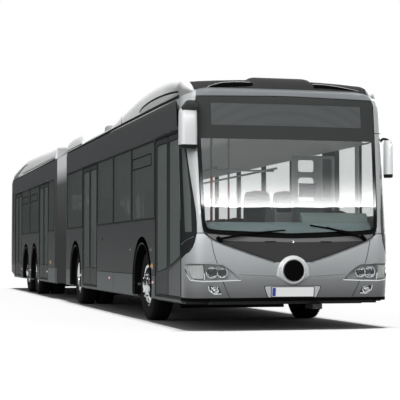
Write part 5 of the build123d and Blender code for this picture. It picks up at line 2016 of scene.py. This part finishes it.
def cushion(bm, low, high, crown, axis, slot=0):
    """A crowned pad: a closed form that swells along one axis and pulls in between its corners."""
    low, high = Vector(low), Vector(high)
    middle, half = (low + high) / 2, (high - low) / 2
    u, v = [a for a in range(3) if a != axis]
    steps = 8
    top, bottom = {}, {}
    for i in range(steps + 1):
        for j in range(steps + 1):
            a, b = -1 + 2 * i / steps, -1 + 2 * j / steps
            bulge = (1 - a ** 4) * (1 - b ** 4)
            pull_a, pull_b = 1 - 0.035 * (1 - b * b), 1 - 0.035 * (1 - a * a)
            for rows, way in ((top, 1), (bottom, -1)):
                p = Vector(middle)
                p[u] += half[u] * a * pull_a * (0.97 if abs(a) == 1 else 1)
                p[v] += half[v] * b * pull_b * (0.97 if abs(b) == 1 else 1)
                rise = half[axis] - crown + crown * bulge if way > 0 else half[axis]
                rim = 0.72 if (abs(a) == 1 or abs(b) == 1) else 1.0
                p[axis] += way * rise * rim
                rows[i, j] = bm.verts.new(p)
    made = []
    for i in range(steps):
        for j in range(steps):
            for rows in (top, bottom):
                made.append(
                    bm.faces.new((rows[i, j], rows[i + 1, j], rows[i + 1, j + 1], rows[i, j + 1]))
                )
    rim = [(i, 0) for i in range(steps)] + [(steps, j) for j in range(steps)]
    rim += [(i, steps) for i in range(steps, 0, -1)] + [(0, j) for j in range(steps, 0, -1)]
    for here, there in zip(rim, rim[1:] + rim[:1]):
        made.append(bm.faces.new((top[here], top[there], bottom[there], bottom[here])))
    set_slot(made, slot)
    bmesh.ops.recalc_face_normals(bm, faces=made)


def add_seat(shells, pads, backs, handles, x, ya, yb, top):
    """One passenger seat between two widths: shell, seat pad, back pad and grab handle."""
    add_block(shells, (x - 0.215, ya, top - 0.085), (x + 0.215, yb, top - 0.035), 0.015)
    ym = (ya + yb) / 2
    rings = []
    for share, push, width in SEAT_BACK:
        z = top - 0.06 + 0.66 * share
        yh = (yb - ya) / 2 * width
        near, far = x - 0.15 + push * 0.6, x - 0.18 + push * 0.9
        corners = ((near, ym - yh), (near, ym + yh), (far, ym + yh), (far, ym - yh))
        rings.append([Vector((*corner, z)) for corner in corners])
    add_loft(shells, rings)
    cushion(pads, (x - 0.15, ya + 0.02, top - 0.036), (x + 0.21, yb - 0.02, top), 0.012, 2)
    back = (x - 0.152, ya + 0.03, top + 0.03), (x - 0.132, yb - 0.03, top + 0.54)
    cushion(backs, *back, 0.008, 0)
    line = smooth_line(
        [
            (x - 0.19, ym - 0.12, top + 0.50), (x - 0.20, ym - 0.12, top + 0.58),
            (x - 0.20, ym, top + 0.61), (x - 0.20, ym + 0.12, top + 0.58),
            (x - 0.19, ym + 0.12, top + 0.50),
        ],
        4,
    )
    add_sweep(handles, line, bpy.context.scene.bus_sizes.seat_handle_radius, 8)


def build_seats():
    """Passenger seats: moulded shells with padded seats and backs, grab handles and pedestals."""
    for tag, body, rows in (("front", FRONT, FRONT_SEATS), ("rear", REAR, REAR_SEATS)):
        shells, pads, backs, handles = (bmesh.new() for _ in range(4))
        for x, way, top in rows:
            base = PODIUM_Z if top > PODIUM_Z else FLOOR_Z
            for part in (0, 1):
                y0 = way * AISLE_Y + way * (SEAT_PITCH * part)
                y1 = y0 + way * SEAT_WIDTH
                add_seat(shells, pads, backs, handles, x, min(y0, y1), max(y0, y1), top)
            if top - 0.09 > base + 0.05:
                y = way * (AISLE_Y + SEAT_PITCH)
                foot = (x - 0.06, y - 0.13, base), (x + 0.06, y + 0.13, top - 0.085)
                add_block(shells, *foot, 0.01)
        if body == REAR:
            add_block(shells, (-9.41, -1.14, 1.345), (-8.95, 1.14, 1.375), 0.015)
            add_block(shells, (-9.50, -1.14, 1.345), (-9.455, 1.14, 2.03), 0.015)
            for k in range(5):
                y0 = -1.13 + 0.454 * k
                cushion(pads, (-9.40, y0, 1.375), (-8.955, y0 + 0.43, 1.428), 0.02, 2)
                cushion(backs, (-9.455, y0, 1.43), (-9.415, y0 + 0.43, 2.02), 0.015, 0)
        finish_piece(
            f"{tag}_seat_shells", shells, "seat_shell_plastic", body, (f"{tag}_seats",),
        )
        finish_piece(f"{tag}_seat_handles", handles, "handrail_coating_red", body)
        for piece_name, bm in ((f"{tag}_seat_pads", pads), (f"{tag}_back_pads", backs)):
            piece = finish_piece(piece_name, bm, "seat_moquette", body, sharp=60)


def build_driver_seat():
    """The driver's seat: a stepped pedestal, a shell and padded seat, back and headrest."""
    x, y = AXLE_1 + 1.5, 0.700
    bm = bmesh.new()
    add_block(bm, (x - 0.19, y - 0.19, 0.62), (x + 0.19, y + 0.19, 0.70), 0.02)
    for i in range(5):
        fill = 0.17 if i % 2 else 0.14
        add_block(
            bm, (x - fill, y - fill, 0.70 + 0.036 * i), (x + fill, y + fill, 0.735 + 0.036 * i),
            0.01,
        )
    add_block(bm, (x - 0.22, y - 0.23, 0.88), (x + 0.25, y + 0.23, 0.92), 0.02)
    add_block(bm, (x - 0.315, y - 0.21, 0.93), (x - 0.280, y + 0.21, 1.60), 0.015)
    finish_piece("driver_seat_base", bm, "trim_plastic_black", FRONT)
    bm = bmesh.new()
    cushion(bm, (x - 0.20, y - 0.235, 0.92), (x + 0.262, y + 0.235, 1.008), 0.03, 2)
    cushion(bm, (x - 0.280, y - 0.225, 1.00), (x - 0.195, y + 0.225, 1.615), 0.03, 0)
    cushion(bm, (x - 0.315, y - 0.125, 1.64), (x - 0.235, y + 0.125, 1.835), 0.03, 0)
    finish_piece("driver_seat_pads", bm, "seat_moquette", FRONT, sharp=60)


def build_dashboard():
    """The desk under the windscreen, the instrument hood with its dials, and the column."""
    x = AXLE_1

    def shelf(bm, profile, y0, y1, slot=0):
        count = 12
        rings = []
        for i in range(count + 1):
            y = y0 + (y1 - y0) * i / count
            rings.append([Vector((px - y * y / 24, y, pz)) for px, pz in profile])
        add_loft(bm, rings, slot=slot)

    bm = bmesh.new()
    shelf(
        bm,
        rounded(
            [
                (x + 2.34, 0.63), (x + 2.53, 0.63), (x + 2.55, 1.05), (x + 2.488, 1.226),
                (x + 2.438, 1.284), (x + 2.34, 1.290),
            ],
            [0.0, 0.02, 0.06, 0.05, 0.03, 0.01], 4,
        ),
        -1.035, 1.085,
    )
    add_block(bm, (x + 2.305, -1.035, 0.63), (x + 2.35, 1.085, 1.288), 0.01)
    shelf(
        bm,
        rounded(
            [
                (x + 2.205, 0.63), (x + 2.33, 0.63), (x + 2.33, 1.235), (x + 2.255, 1.238),
                (x + 2.185, 1.065),
            ],
            [0.0, 0.0, 0.02, 0.02, 0.02], 4,
        ),
        0.425, 0.975,
    )
    finish_piece("dash_shelf", bm, "dash_plastic_teal", FRONT, ("dashboard",))
    bm = bmesh.new()
    shelf(
        bm,
        rounded(
            [
                (x + 2.345, 1.25), (x + 2.445, 1.25), (x + 2.440, 1.30), (x + 2.425, 1.365),
                (x + 2.385, 1.405), (x + 2.345, 1.41),
            ],
            [0.0, 0.0, 0.02, 0.03, 0.03, 0.02], 4,
        ),
        0.20, 1.07,
    )
    finish_piece("dash_hood", bm, "dash_plastic_dark", FRONT)
    bm = bmesh.new()
    for y in (0.56, 0.70, 0.84):
        add_lathe(
            bm, (x + 2.334, y, 1.335), (-1, 0, 0.15),
            ((-0.02, 0.050), (0.004, 0.050), (0.005, 0.044), (0.002, 0.042), (0.002, 0.0)), 28,
        )
    column = [(x + 2.09 + 0.02, 0.70, 1.28), (x + 2.18, 0.70, 1.10), (x + 2.24, 0.70, 0.95)]
    add_sweep(bm, column, 0.021, 12, up=(0, 1, 0))
    finish_piece("dash_dials", bm, "trim_plastic_black", FRONT)


def build_partition():
    """The driver's partition: a lower panel, a framed pane above it and the low gate."""
    face_x = AXLE_1 + 0.850

    def wall_at(y, z, depth=0.0):
        return Vector((face_x + depth, y, z))

    bm = bmesh.new()
    outer = [(0.23, 0.372), (1.21, 0.372), (1.21, 2.225), (0.60, 2.225), (0.60, 1.46), (0.23, 1.46)]
    panes = [
        rounded(rect(0.69, 0.915, 2.005, 2.165), 0.035),
        rounded(rect(0.69, 0.915, 1.48, 1.93), 0.05),
        rounded(rect(1.03, 1.175, 1.36, 2.19), 0.03),
    ]
    add_panel(bm, wall_at, outer, 0.030, panes, edge=0.003)
    add_block(bm, (face_x + 0.001, 0.232, 0.622), (AXLE_1 + 1.248, 0.258, 1.498), 0.01)
    finish_piece("partition_frame", bm, "panel_plastic_grey", FRONT, ("partition",))
    bm = bmesh.new()
    for pane in panes:
        add_panel(bm, wall_at, pane, 0.006, lift=-0.012)
    finish_piece("partition_pane", bm, "lamp_cover_clear", FRONT)


def build_ceiling():
    """Laminate ceilings that curve down into coves over the windows."""
    section = smooth_points(
        [
            (1.205, 2.300), (1.130, 2.276), (1.040, 2.300), (0.930, 2.400), (0.840, 2.560),
            (0.740, 2.665), (0.600, 2.705), (0.300, 2.715), (0.0, 2.718),
        ],
        3,
    )
    for name, body, x0, x1 in (
        ("front_ceiling", FRONT, 0.14, 9.27), ("rear_ceiling", REAR, -9.38, -1.57),
    ):
        bm = bmesh.new()
        # Over the doorways the cove is lifted clear of the leaves
        stations = [(x0, 0.0), (x1, 0.0)]
        for n in ((1, 2) if body == FRONT else (3, 4)):
            low, high = DOORS[n] - 0.06, DOORS[n] + DOOR_WIDTH + 0.06
            stations += [(low - 0.02, 0.0), (low, 1.0)]
            stations += [(high, 1.0), (high + 0.02, 0.0)] if high + 0.02 < x1 else []
        stations = [
            (x, lifted if x < x1 else float(body == FRONT))
            for x, lifted in sorted(stations)
        ]
        rings = []
        for x, lifted in stations:
            right = [
                (-y, max(z, 2.405 + 0.2 * max(0.0, 0.9 - y)) if lifted else z)
                for y, z in reversed(section[:-1])
            ]
            line = section + right
            rings.append([Vector((x, y, z)) for y, z in line]
                         + [Vector((x, y, z + 0.012)) for y, z in reversed(line)])
        add_loft(bm, rings)
        finish_piece(name, bm, "ceiling_laminate", body, sharp=50)


# ---------- the tail ----------
TAIL_LAMP_S = 1.105
TAIL_LAMP_LEVELS = (0.79, 0.92, 1.05, 1.18)
AMBER_LEVEL = 0.92
TAIL_LENS = ((-0.03, 0.050), (0.0, 0.050), (0.010, 0.044), (0.014, 0.025), (0.015, 0.0))
TAIL_RIM = ((-0.03, 0.060), (0.002, 0.059), (0.004, 0.053), (0.0, 0.051))
TAIL_LAMP_PANEL = ((1.044, 0.724), (1.196, 0.724), (1.196, 1.276), (1.044, 1.276))


def tail_panel(bm, outline, thick, holes=(), **options):
    """A panel that lies on the skin of the tail."""
    add_panel(bm, tail_at, outline, thick, holes, cuts=TAIL_CUTS, **options)


def build_tail():
    """Lamp clusters, engine louvres, bumper, blank plate and seams at the back."""
    red, amber, rims, dark = (bmesh.new() for _ in range(4))
    for way in (-1, 1):
        for z in TAIL_LAMP_LEVELS:
            spot = tail_at(way * TAIL_LAMP_S, z, 0.0)
            add_lathe(amber if z == AMBER_LEVEL else red, spot, (-1, 0, 0), TAIL_LENS, 28)
            add_lathe(rims, spot, (-1, 0, 0), TAIL_RIM, 28)
        corner = on_side(TAIL_LAMP_PANEL, way)
        tail_panel(dark, corner, 0.02, lift=-0.018, step=(0.04, 0.2))
    finish_piece("tail_lamps_red", red, "red_lens", REAR, ("tail_lamps",))
    finish_piece("tail_lamps_amber", amber, "amber_lens", REAR)
    finish_piece("tail_lamp_rims", rims, "chrome_plate", REAR)
    finish_piece("tail_lamp_panels", dark, "trim_plastic_black", REAR)
    bm = bmesh.new()
    for outline in (
        ribbon([(-0.98, 0.70), (-0.98, 1.42), (0.98, 1.42), (0.98, 0.70), (-0.98, 0.70)], 0.008),
        ribbon([(-1.40, 0.66), (1.40, 0.66)], 0.010),
        ribbon([(-1.30, 2.60), (1.30, 2.60)], 0.008),
    ):
        tail_panel(bm, outline, 0.004, lift=0.002, step=(0.1, 0.3))
    window = rounded(rect(-0.93, 0.93, 1.47, 2.48), 0.08)
    pane = rounded(rect(-0.895, 0.895, 1.505, 2.445), 0.06)
    tail_panel(bm, window, 0.010, (pane,), lift=0.004, step=(0.2, 0.3))
    finish_piece("tail_seams", bm, "seal_rubber", REAR)
    bm = bmesh.new()
    slat = bmesh.new()
    add_block(slat, (-9.778, -0.85, 0.80), (-9.762, 0.85, 0.822), 0.003)
    add_repeated(
        bm, slat, "row", bpy.context.scene.bus_sizes.engine_slats, (0, 0, 0.038),
        "trim_plastic_black",
    )
    for way in (-1, 1):
        slat = bmesh.new()
        add_block(slat, (-9.40, way * 1.268, 1.45), (-9.10, way * 1.278, 1.475), 0.002)
        add_repeated(bm, slat, "row", 22, (0, 0, 0.045), "trim_plastic_black")
    finish_piece("engine_louvres", bm, "trim_plastic_black", REAR)
    bm = bmesh.new()
    bar = rect(-1.42, 1.42, 0.445, 0.62)
    tail_panel(bm, bar, 0.03, edge=0.004, step=(0.06, 0.09))
    finish_piece("rear_bumper", bm, "bumper_paint_grey", REAR)
    bm = bmesh.new()
    plate = rounded(rect(-0.26, 0.26, 0.475, 0.587), 0.012)
    add_panel(bm, tail_at, plate, 0.003, lift=0.0035)
    finish_piece("rear_plate", bm, "plate_sheet_white", REAR)


# ---------- finishes for what the frame brings ----------
FRAME_FINISHES = {
    "side_paint_charcoal": (
        "front_side_right", "front_side_left", "rear_side_right", "rear_side_left",
    ),
    "roof_enamel_grey": ("front_roof", "rear_roof"),
    "side_glass_tinted": ("front_glazing", "rear_glazing"), "fairing_paint_grey": ("rear_end",),
    "vinyl_floor": ("front_floor", "rear_floor"),
    "handrail_coating_red": ("front_rails", "rear_rails"),
    "chassis_enamel_black": (
        "front_axle_beams", "rear_axle_beams", "knuckle_1_left", "knuckle_1_right",
        "knuckle_4_left", "knuckle_4_right",
    ),
    "cast_iron_painted": ("engine",), "trim_plastic_black": ("steering_wheel",),
}


def finish_frame():
    """Give each node of the frame that still shows its own finish."""
    for material, names in FRAME_FINISHES.items():
        for name in names:
            node = frame["nodes"][name]
            if not node.material_slots:
                node.data.materials.append(None)
            for item in node.material_slots:
                item.link = "OBJECT"
                item.material = bpy.data.materials[material]


# ---------- stage ----------
CAMERA_AT = Vector((24.561, -4.919, 0.915))
CAMERA_AHEAD = Vector((-0.96818, 0.24697, 0.04057))


def emitter(name, colour, strength):
    """A light-giving material for the stage."""
    material = empty_material(name)
    tree = material.node_tree
    shine = add_node(
        tree, "ShaderNodeEmission", inputs={"Color": linear(colour), "Strength": strength},
    )
    add_node(tree, "ShaderNodeOutputMaterial", links={"Surface": shine.outputs[0]})
    return material


def build_camera():
    """The camera ahead of the right front corner."""
    lens_data = bpy.data.cameras.new("camera")
    lens_data.lens = 117.38
    lens_data.sensor_width = 36.0
    lens_data.clip_end = 200.0
    camera = bpy.data.objects.new("camera", lens_data)
    camera.location = CAMERA_AT
    camera.rotation_euler = CAMERA_AHEAD.to_track_quat("-Z", "Y").to_euler()
    bpy.context.scene.collection.objects.link(camera)
    bpy.context.scene.camera = camera


def build_world():
    """White surroundings for the eye, in glass and in metal, and softer light for the object."""
    world = bpy.data.worlds.new("surroundings")
    bpy.context.scene.world = world
    world.use_nodes = True
    tree = world.node_tree
    tree.nodes.clear()
    path = add_node(tree, "ShaderNodeLightPath").outputs
    seen = add_node(
        tree, "ShaderNodeMath", settings={"operation": "MAXIMUM"},
        links={0: path["Is Camera Ray"], 1: path["Is Transmission Ray"]},
    )
    seen = add_node(
        tree, "ShaderNodeMath", settings={"operation": "MAXIMUM"},
        links={0: seen.outputs[0], 1: path["Is Glossy Ray"]},
    )
    soft = add_node(
        tree, "ShaderNodeBackground", inputs={"Color": linear("#ffffff"), "Strength": 0.4},
    )
    white = add_node(
        tree, "ShaderNodeBackground", inputs={"Color": (1.0, 1.0, 1.0, 1.0), "Strength": 1.0},
    )
    mix = add_node(
        tree, "ShaderNodeMixShader",
        links={0: seen.outputs[0], 1: soft.outputs[0], 2: white.outputs[0]},
    )
    add_node(tree, "ShaderNodeOutputWorld", links={"Surface": mix.outputs[0]})


def flat_mesh(name, corners, material):
    """A flat stage piece between four corners."""
    mesh = bpy.data.meshes.new(name)
    mesh.from_pydata([tuple(c) for c in corners], [], [(0, 1, 2, 3)])
    mesh.materials.append(material)
    piece = bpy.data.objects.new(name, mesh)
    bpy.context.scene.collection.objects.link(piece)
    return piece


def build_floor():
    """A white floor that keeps the object's shadow and throws little light back up."""
    material = empty_material("studio_floor")
    tree = material.node_tree
    path = add_node(tree, "ShaderNodeLightPath").outputs
    pale = add_node(tree, "ShaderNodeBsdfDiffuse", inputs={"Color": (0.45, 0.45, 0.45, 1.0)})
    dull = add_node(tree, "ShaderNodeBsdfDiffuse", inputs={"Color": (0.05, 0.05, 0.05, 1.0)})
    lit = add_node(
        tree, "ShaderNodeMixShader",
        links={0: path["Is Diffuse Ray"], 1: pale.outputs[0], 2: dull.outputs[0]},
    )
    add_node(tree, "ShaderNodeOutputMaterial", links={"Surface": lit.outputs[0]})
    flat_mesh("floor", ((-90, -60, 0), (45, -60, 0), (45, 60, 0), (-90, 60, 0)), material)


def card(name, corners, colour, strength):
    """A studio card that only reflections show."""
    reflect_only(flat_mesh(name, corners, emitter(name, colour, strength)))


def reflect_only(piece):
    """Hide a stage piece from all but reflections."""
    piece.visible_camera = piece.visible_diffuse = piece.visible_shadow = False
    piece.visible_transmission = False


SCREEN_CARD = (
    (-14.0, 7.70, 8.75), (-6.0, 7.40, 8.50), (0.0, 7.20, 8.34), (1.6, 7.165, 8.31),
    (3.0, 7.17, 8.33), (4.5, 7.20, 8.37), (6.0, 7.23, 8.42), (7.5, 7.29, 8.49), (9.1, 7.35, 8.57),
    (10.8, 7.445, 8.68), (12.65, 7.56, 8.84), (13.8, 7.66, 8.95), (16.0, 7.85, 9.16),
    (22.0, 8.30, 9.70),
)


def build_cards():
    """Dark flags beside the door side and ahead, and a bright graded card for the windscreen."""
    card("side_flag", ((-150, -9, -1), (16, -9, -1), (16, -9, 30), (-150, -9, 30)), "#303131", 1.0)
    card(
        "front_flag", ((30.2, -30, -1), (30.2, 40, -1), (30.2, 40, 80), (30.2, -30, 80)), "#3c3d3d",
        1.0,
    )
    mesh = bpy.data.meshes.new("screen_card")
    points = [(29.5, y, z) for y, low, high in SCREEN_CARD for z in (low, high)]
    faces = [(2 * i, 2 * i + 2, 2 * i + 3, 2 * i + 1) for i in range(len(SCREEN_CARD) - 1)]
    mesh.from_pydata(points, [], faces)
    rise = mesh.attributes.new("rise", "FLOAT", "POINT")
    for i, item in enumerate(rise.data):
        item.value = float(i % 2)
    material = empty_material("screen_card")
    tree = material.node_tree
    height = add_node(
        tree, "ShaderNodeAttribute", settings={"attribute_name": "rise"},
    ).outputs["Fac"]
    left = add_node(
        tree, "ShaderNodeMath", settings={"operation": "SUBTRACT"}, inputs={0: 1.0},
        links={1: height},
    )
    fall = add_node(
        tree, "ShaderNodeMath", settings={"operation": "POWER"}, inputs={1: 2.75},
        links={0: left.outputs[0]},
    )
    level = add_node(
        tree, "ShaderNodeMath", settings={"operation": "MULTIPLY"}, inputs={1: 29.0},
        links={0: fall.outputs[0]},
    )
    shine = add_node(tree, "ShaderNodeEmission", links={"Strength": level.outputs[0]})
    add_node(tree, "ShaderNodeOutputMaterial", links={"Surface": shine.outputs[0]})
    mesh.materials.append(material)
    piece = bpy.data.objects.new("screen_card", mesh)
    bpy.context.scene.collection.objects.link(piece)
    reflect_only(piece)


def sun(name, ahead, strength, soft):
    """A distant lamp shining along a direction."""
    data = bpy.data.lights.new(name, "SUN")
    data.energy = strength
    data.angle = math.radians(soft)
    lamp = bpy.data.objects.new(name, data)
    lamp.rotation_euler = Vector(ahead).to_track_quat("-Z", "Y").to_euler()
    lamp.location = (0, 0, 20)
    bpy.context.scene.collection.objects.link(lamp)
    return lamp


def cabin_lamp(name, x0, x1):
    """A wide soft lamp under a cabin's ceiling that eye and metal don't see."""
    data = bpy.data.lights.new(name, "AREA")
    data.shape = "RECTANGLE"
    data.size, data.size_y = x1 - x0, 1.5
    data.energy = 2.7 * (x1 - x0)
    lamp = bpy.data.objects.new(name, data)
    lamp.location = ((x0 + x1) / 2, 0.0, 1.75)
    lamp.rotation_euler = (math.pi, 0.0, 0.0)
    lamp.visible_camera = lamp.visible_glossy = lamp.visible_transmission = False
    bpy.context.scene.collection.objects.link(lamp)


def build_lights():
    """Soft lamps for the object, one overhead that only the floor receives, and cabin lamps."""
    overhead = sun("overhead", (0.05, 0.10, -1.0), 0.6, 40.0)
    fill = sun("fill", (-0.74, 0.50, -0.45), 2.6, 50.0)
    back = sun("back_fill", (0.62, -0.64, -0.45), 1.1, 50.0)
    lit = bpy.data.collections.new("lit_object")
    ground = bpy.data.collections.new("lit_floor")
    for piece in bpy.context.scene.objects:
        if piece.type == "MESH":
            (ground if piece.name == "floor" else lit).objects.link(piece)
    for lamp in (overhead, fill, back):
        lamp.light_linking.receiver_collection = lit
    sun("floor_lamp", (0.0, 0.0, -1.0), 5.9, 7.0).light_linking.receiver_collection = ground
    cabin_lamp("cabin_lamp_front", 0.4, 9.0)
    cabin_lamp("cabin_lamp_rear", -9.2, -1.8)


# ---------- sizes and colours a user can set ----------
def length(name, description, default, low, high):
    """A size in metres."""
    return FloatProperty(
        name=name, description=description, default=default, min=low, max=high, unit="LENGTH",
        subtype="DISTANCE", precision=4,
    )


def number(name, description, default, low, high):
    """A count of like parts."""
    return IntProperty(name=name, description=description, default=default, min=low, max=high)


def colour(name, description, code):
    """A colour, given as sRGB hex."""
    return FloatVectorProperty(
        name=name, description=description, default=linear(code), size=4, min=0.0, max=1.0,
        subtype="COLOR",
    )


class BusSizes(bpy.types.PropertyGroup):
    """Sizes and counts of the finished pieces"""
    seam_width: length(
        "Seam width", "Width of the joints between the panels of the nose", 0.007, 0.002, 0.02,
    )
    badge_radius: length(
        "Badge radius", "Radius of the plain disc in the middle of the nose", 0.130, 0.09, 0.14,
    )
    wiper_arm_radius: length("Wiper arm", "Half the width of a wiper arm", 0.019, 0.008, 0.03)
    grab_bar_radius: length(
        "Grab bar", "Radius of the bars inside the door leaves", 0.011, 0.006, 0.02,
    )
    seat_handle_radius: length(
        "Seat handle", "Radius of the handles on the seat backs", 0.012, 0.006, 0.02,
    )
    bellows_folds: number("Bellows folds", "Folds between the two sections", 18, 8, 30)
    tread_blocks: number("Tread blocks", "Blocks round each shoulder of a tyre", 60, 24, 90)
    wheel_nuts: number("Wheel nuts", "Nuts on each rim", 10, 6, 12)
    hand_holes: number("Hand holes", "Openings round each rim", 10, 6, 12)
    engine_slats: number("Engine slats", "Slats of the louvre in the tail", 14, 4, 14)


class BusColours(bpy.types.PropertyGroup):
    """Colours of the main finishes"""
    sides: colour("Side paint", "Charcoal paint of the side walls", "#464849")
    skirt: colour("Skirt paint", "Paint of the skirt panels under the sides", "#595e5e")
    roof: colour("Roof enamel", "Pale enamel of the roof", "#c3c5c6")
    nose: colour("Nose paint", "Silver paint of the nose at its brightest", "#b0b4b6")
    fairings: colour("Fairing lacquer", "White lacquer of the fairings along the roof", "#f2f3f3")
    pillars: colour("Pillar lacquer", "Lacquer of the windscreen's pillars", "#b6babb")
    mirrors: colour("Mirror lacquer", "Lacquer of the mirror heads", "#e6e8e9")
    doors: colour("Door enamel", "Enamel of the door leaves", "#3a3c3d")
    bellows: colour("Bellows cloth", "Coated cloth of the bellows at mid height", "#404141")
    glass: colour("Side glass", "Tint of the side windows on the door side", "#626967")
    door_glass: colour("Door glass", "Tint of the panes in the doors", "#747c7a")
    handrails: colour("Handrails", "Powder coating of the handrails", "#8c2b33")
    seats: colour("Seat cloth", "Moquette of the seats", "#3c4347")
    dashboard: colour("Desk", "Padded skin of the desk under the windscreen", "#6f7f82")
    rims: colour("Rims", "Polished metal of the wheel rims", "#d5d8da")
    tyres: colour("Tyres", "Rubber of the tyres", "#0e0e0e")


# ---------- operators ----------
def run(*steps):
    """Run functions in turn for an operator."""
    for step in steps:
        step()
    return {"FINISHED"}


class BUS_OT_materials(bpy.types.Operator):
    """Make every finish and give the frame's own nodes theirs"""
    bl_idname = "bus.build_materials"
    bl_label = "Finishes"

    def execute(self, context):
        return run(make_materials, finish_frame)


class BUS_OT_nose(bpy.types.Operator):
    """Build the nose panels, badge, plate and lamps"""
    bl_idname = "bus.build_nose"
    bl_label = "Nose"

    def execute(self, context):
        return run(build_mask, build_cowl, build_badge, build_plate, build_lamps)


class BUS_OT_screen(bpy.types.Operator):
    """Build the windscreen, its pillars, header, displays, wipers and mirrors"""
    bl_idname = "bus.build_screen"
    bl_label = "Windscreen"

    def execute(self, context):
        return run(build_screen, build_header, build_wipers, build_mirrors)


class BUS_OT_roof(bpy.types.Operator):
    """Build the roof fairings, their panels and the units on the roof"""
    bl_idname = "bus.build_roof"
    bl_label = "Roof"

    def execute(self, context):
        return run(build_roof_fairings, build_roof_panels, build_roof_louvres, build_roof_plant)


class BUS_OT_sides(bpy.types.Operator):
    """Build the trim of the sides and the arch mouldings"""
    bl_idname = "bus.build_sides"
    bl_label = "Sides"

    def execute(self, context):
        return run(build_side_trim, build_post, build_arches)


class BUS_OT_doors(bpy.types.Operator):
    """Build the leaves, seals and gutters of the doors"""
    bl_idname = "bus.build_doors"
    bl_label = "Doors"

    def execute(self, context):
        return run(build_doors)


class BUS_OT_wheels(bpy.types.Operator):
    """Build the tyres and rims"""
    bl_idname = "bus.build_wheels"
    bl_label = "Wheels"

    def execute(self, context):
        return run(build_wheels)


class BUS_OT_bellows(bpy.types.Operator):
    """Build the bellows and its folds"""
    bl_idname = "bus.build_bellows"
    bl_label = "Bellows"

    def execute(self, context):
        return run(build_bellows)


class BUS_OT_interior(bpy.types.Operator):
    """Build the seats, the desk, the partition and the ceilings"""
    bl_idname = "bus.build_interior"
    bl_label = "Interior"

    def execute(self, context):
        return run(build_seats, build_driver_seat, build_dashboard, build_partition, build_ceiling)


class BUS_OT_tail(bpy.types.Operator):
    """Build the lamps, louvres and bumper of the tail"""
    bl_idname = "bus.build_tail"
    bl_label = "Tail"

    def execute(self, context):
        return run(build_tail)


class BUS_OT_stage(bpy.types.Operator):
    """Build the camera, lights, surroundings and floor"""
    bl_idname = "bus.build_stage"
    bl_label = "Stage"

    def execute(self, context):
        return run(build_camera, build_world, build_floor, build_cards, build_lights)


OPERATORS = (
    BUS_OT_materials, BUS_OT_nose, BUS_OT_screen, BUS_OT_roof, BUS_OT_sides, BUS_OT_doors,
    BUS_OT_wheels, BUS_OT_bellows, BUS_OT_interior, BUS_OT_tail, BUS_OT_stage,
)


class BUS_PT_panel(bpy.types.Panel):
    """The building steps and their sizes in the sidebar"""
    bl_idname = "BUS_PT_panel"
    bl_label = "City Bus"
    bl_space_type = "VIEW_3D"
    bl_region_type = "UI"
    bl_category = "City Bus"

    def draw(self, context):
        for group in (context.scene.bus_sizes, context.scene.bus_colours):
            for name in type(group).__annotations__:
                self.layout.prop(group, name)
        for operator in OPERATORS:
            self.layout.operator(operator.bl_idname)


CLASSES = (BusSizes, BusColours, *OPERATORS, BUS_PT_panel)


def register():
    """Register the classes and their settings."""
    for item in CLASSES:
        bpy.utils.register_class(item)
    bpy.types.Scene.bus_sizes = PointerProperty(type=BusSizes)
    bpy.types.Scene.bus_colours = PointerProperty(type=BusColours)


def unregister():
    """Take them away again."""
    del bpy.types.Scene.bus_sizes, bpy.types.Scene.bus_colours
    for item in reversed(CLASSES):
        bpy.utils.unregister_class(item)


def main():
    """Build everything in order."""
    register()
    for operator in OPERATORS:
        group, name = operator.bl_idname.split(".")
        getattr(getattr(bpy.ops, group), name)()
    bpy.context.scene.view_settings.view_transform = "Standard"


if __name__ == "__main__":
    main()
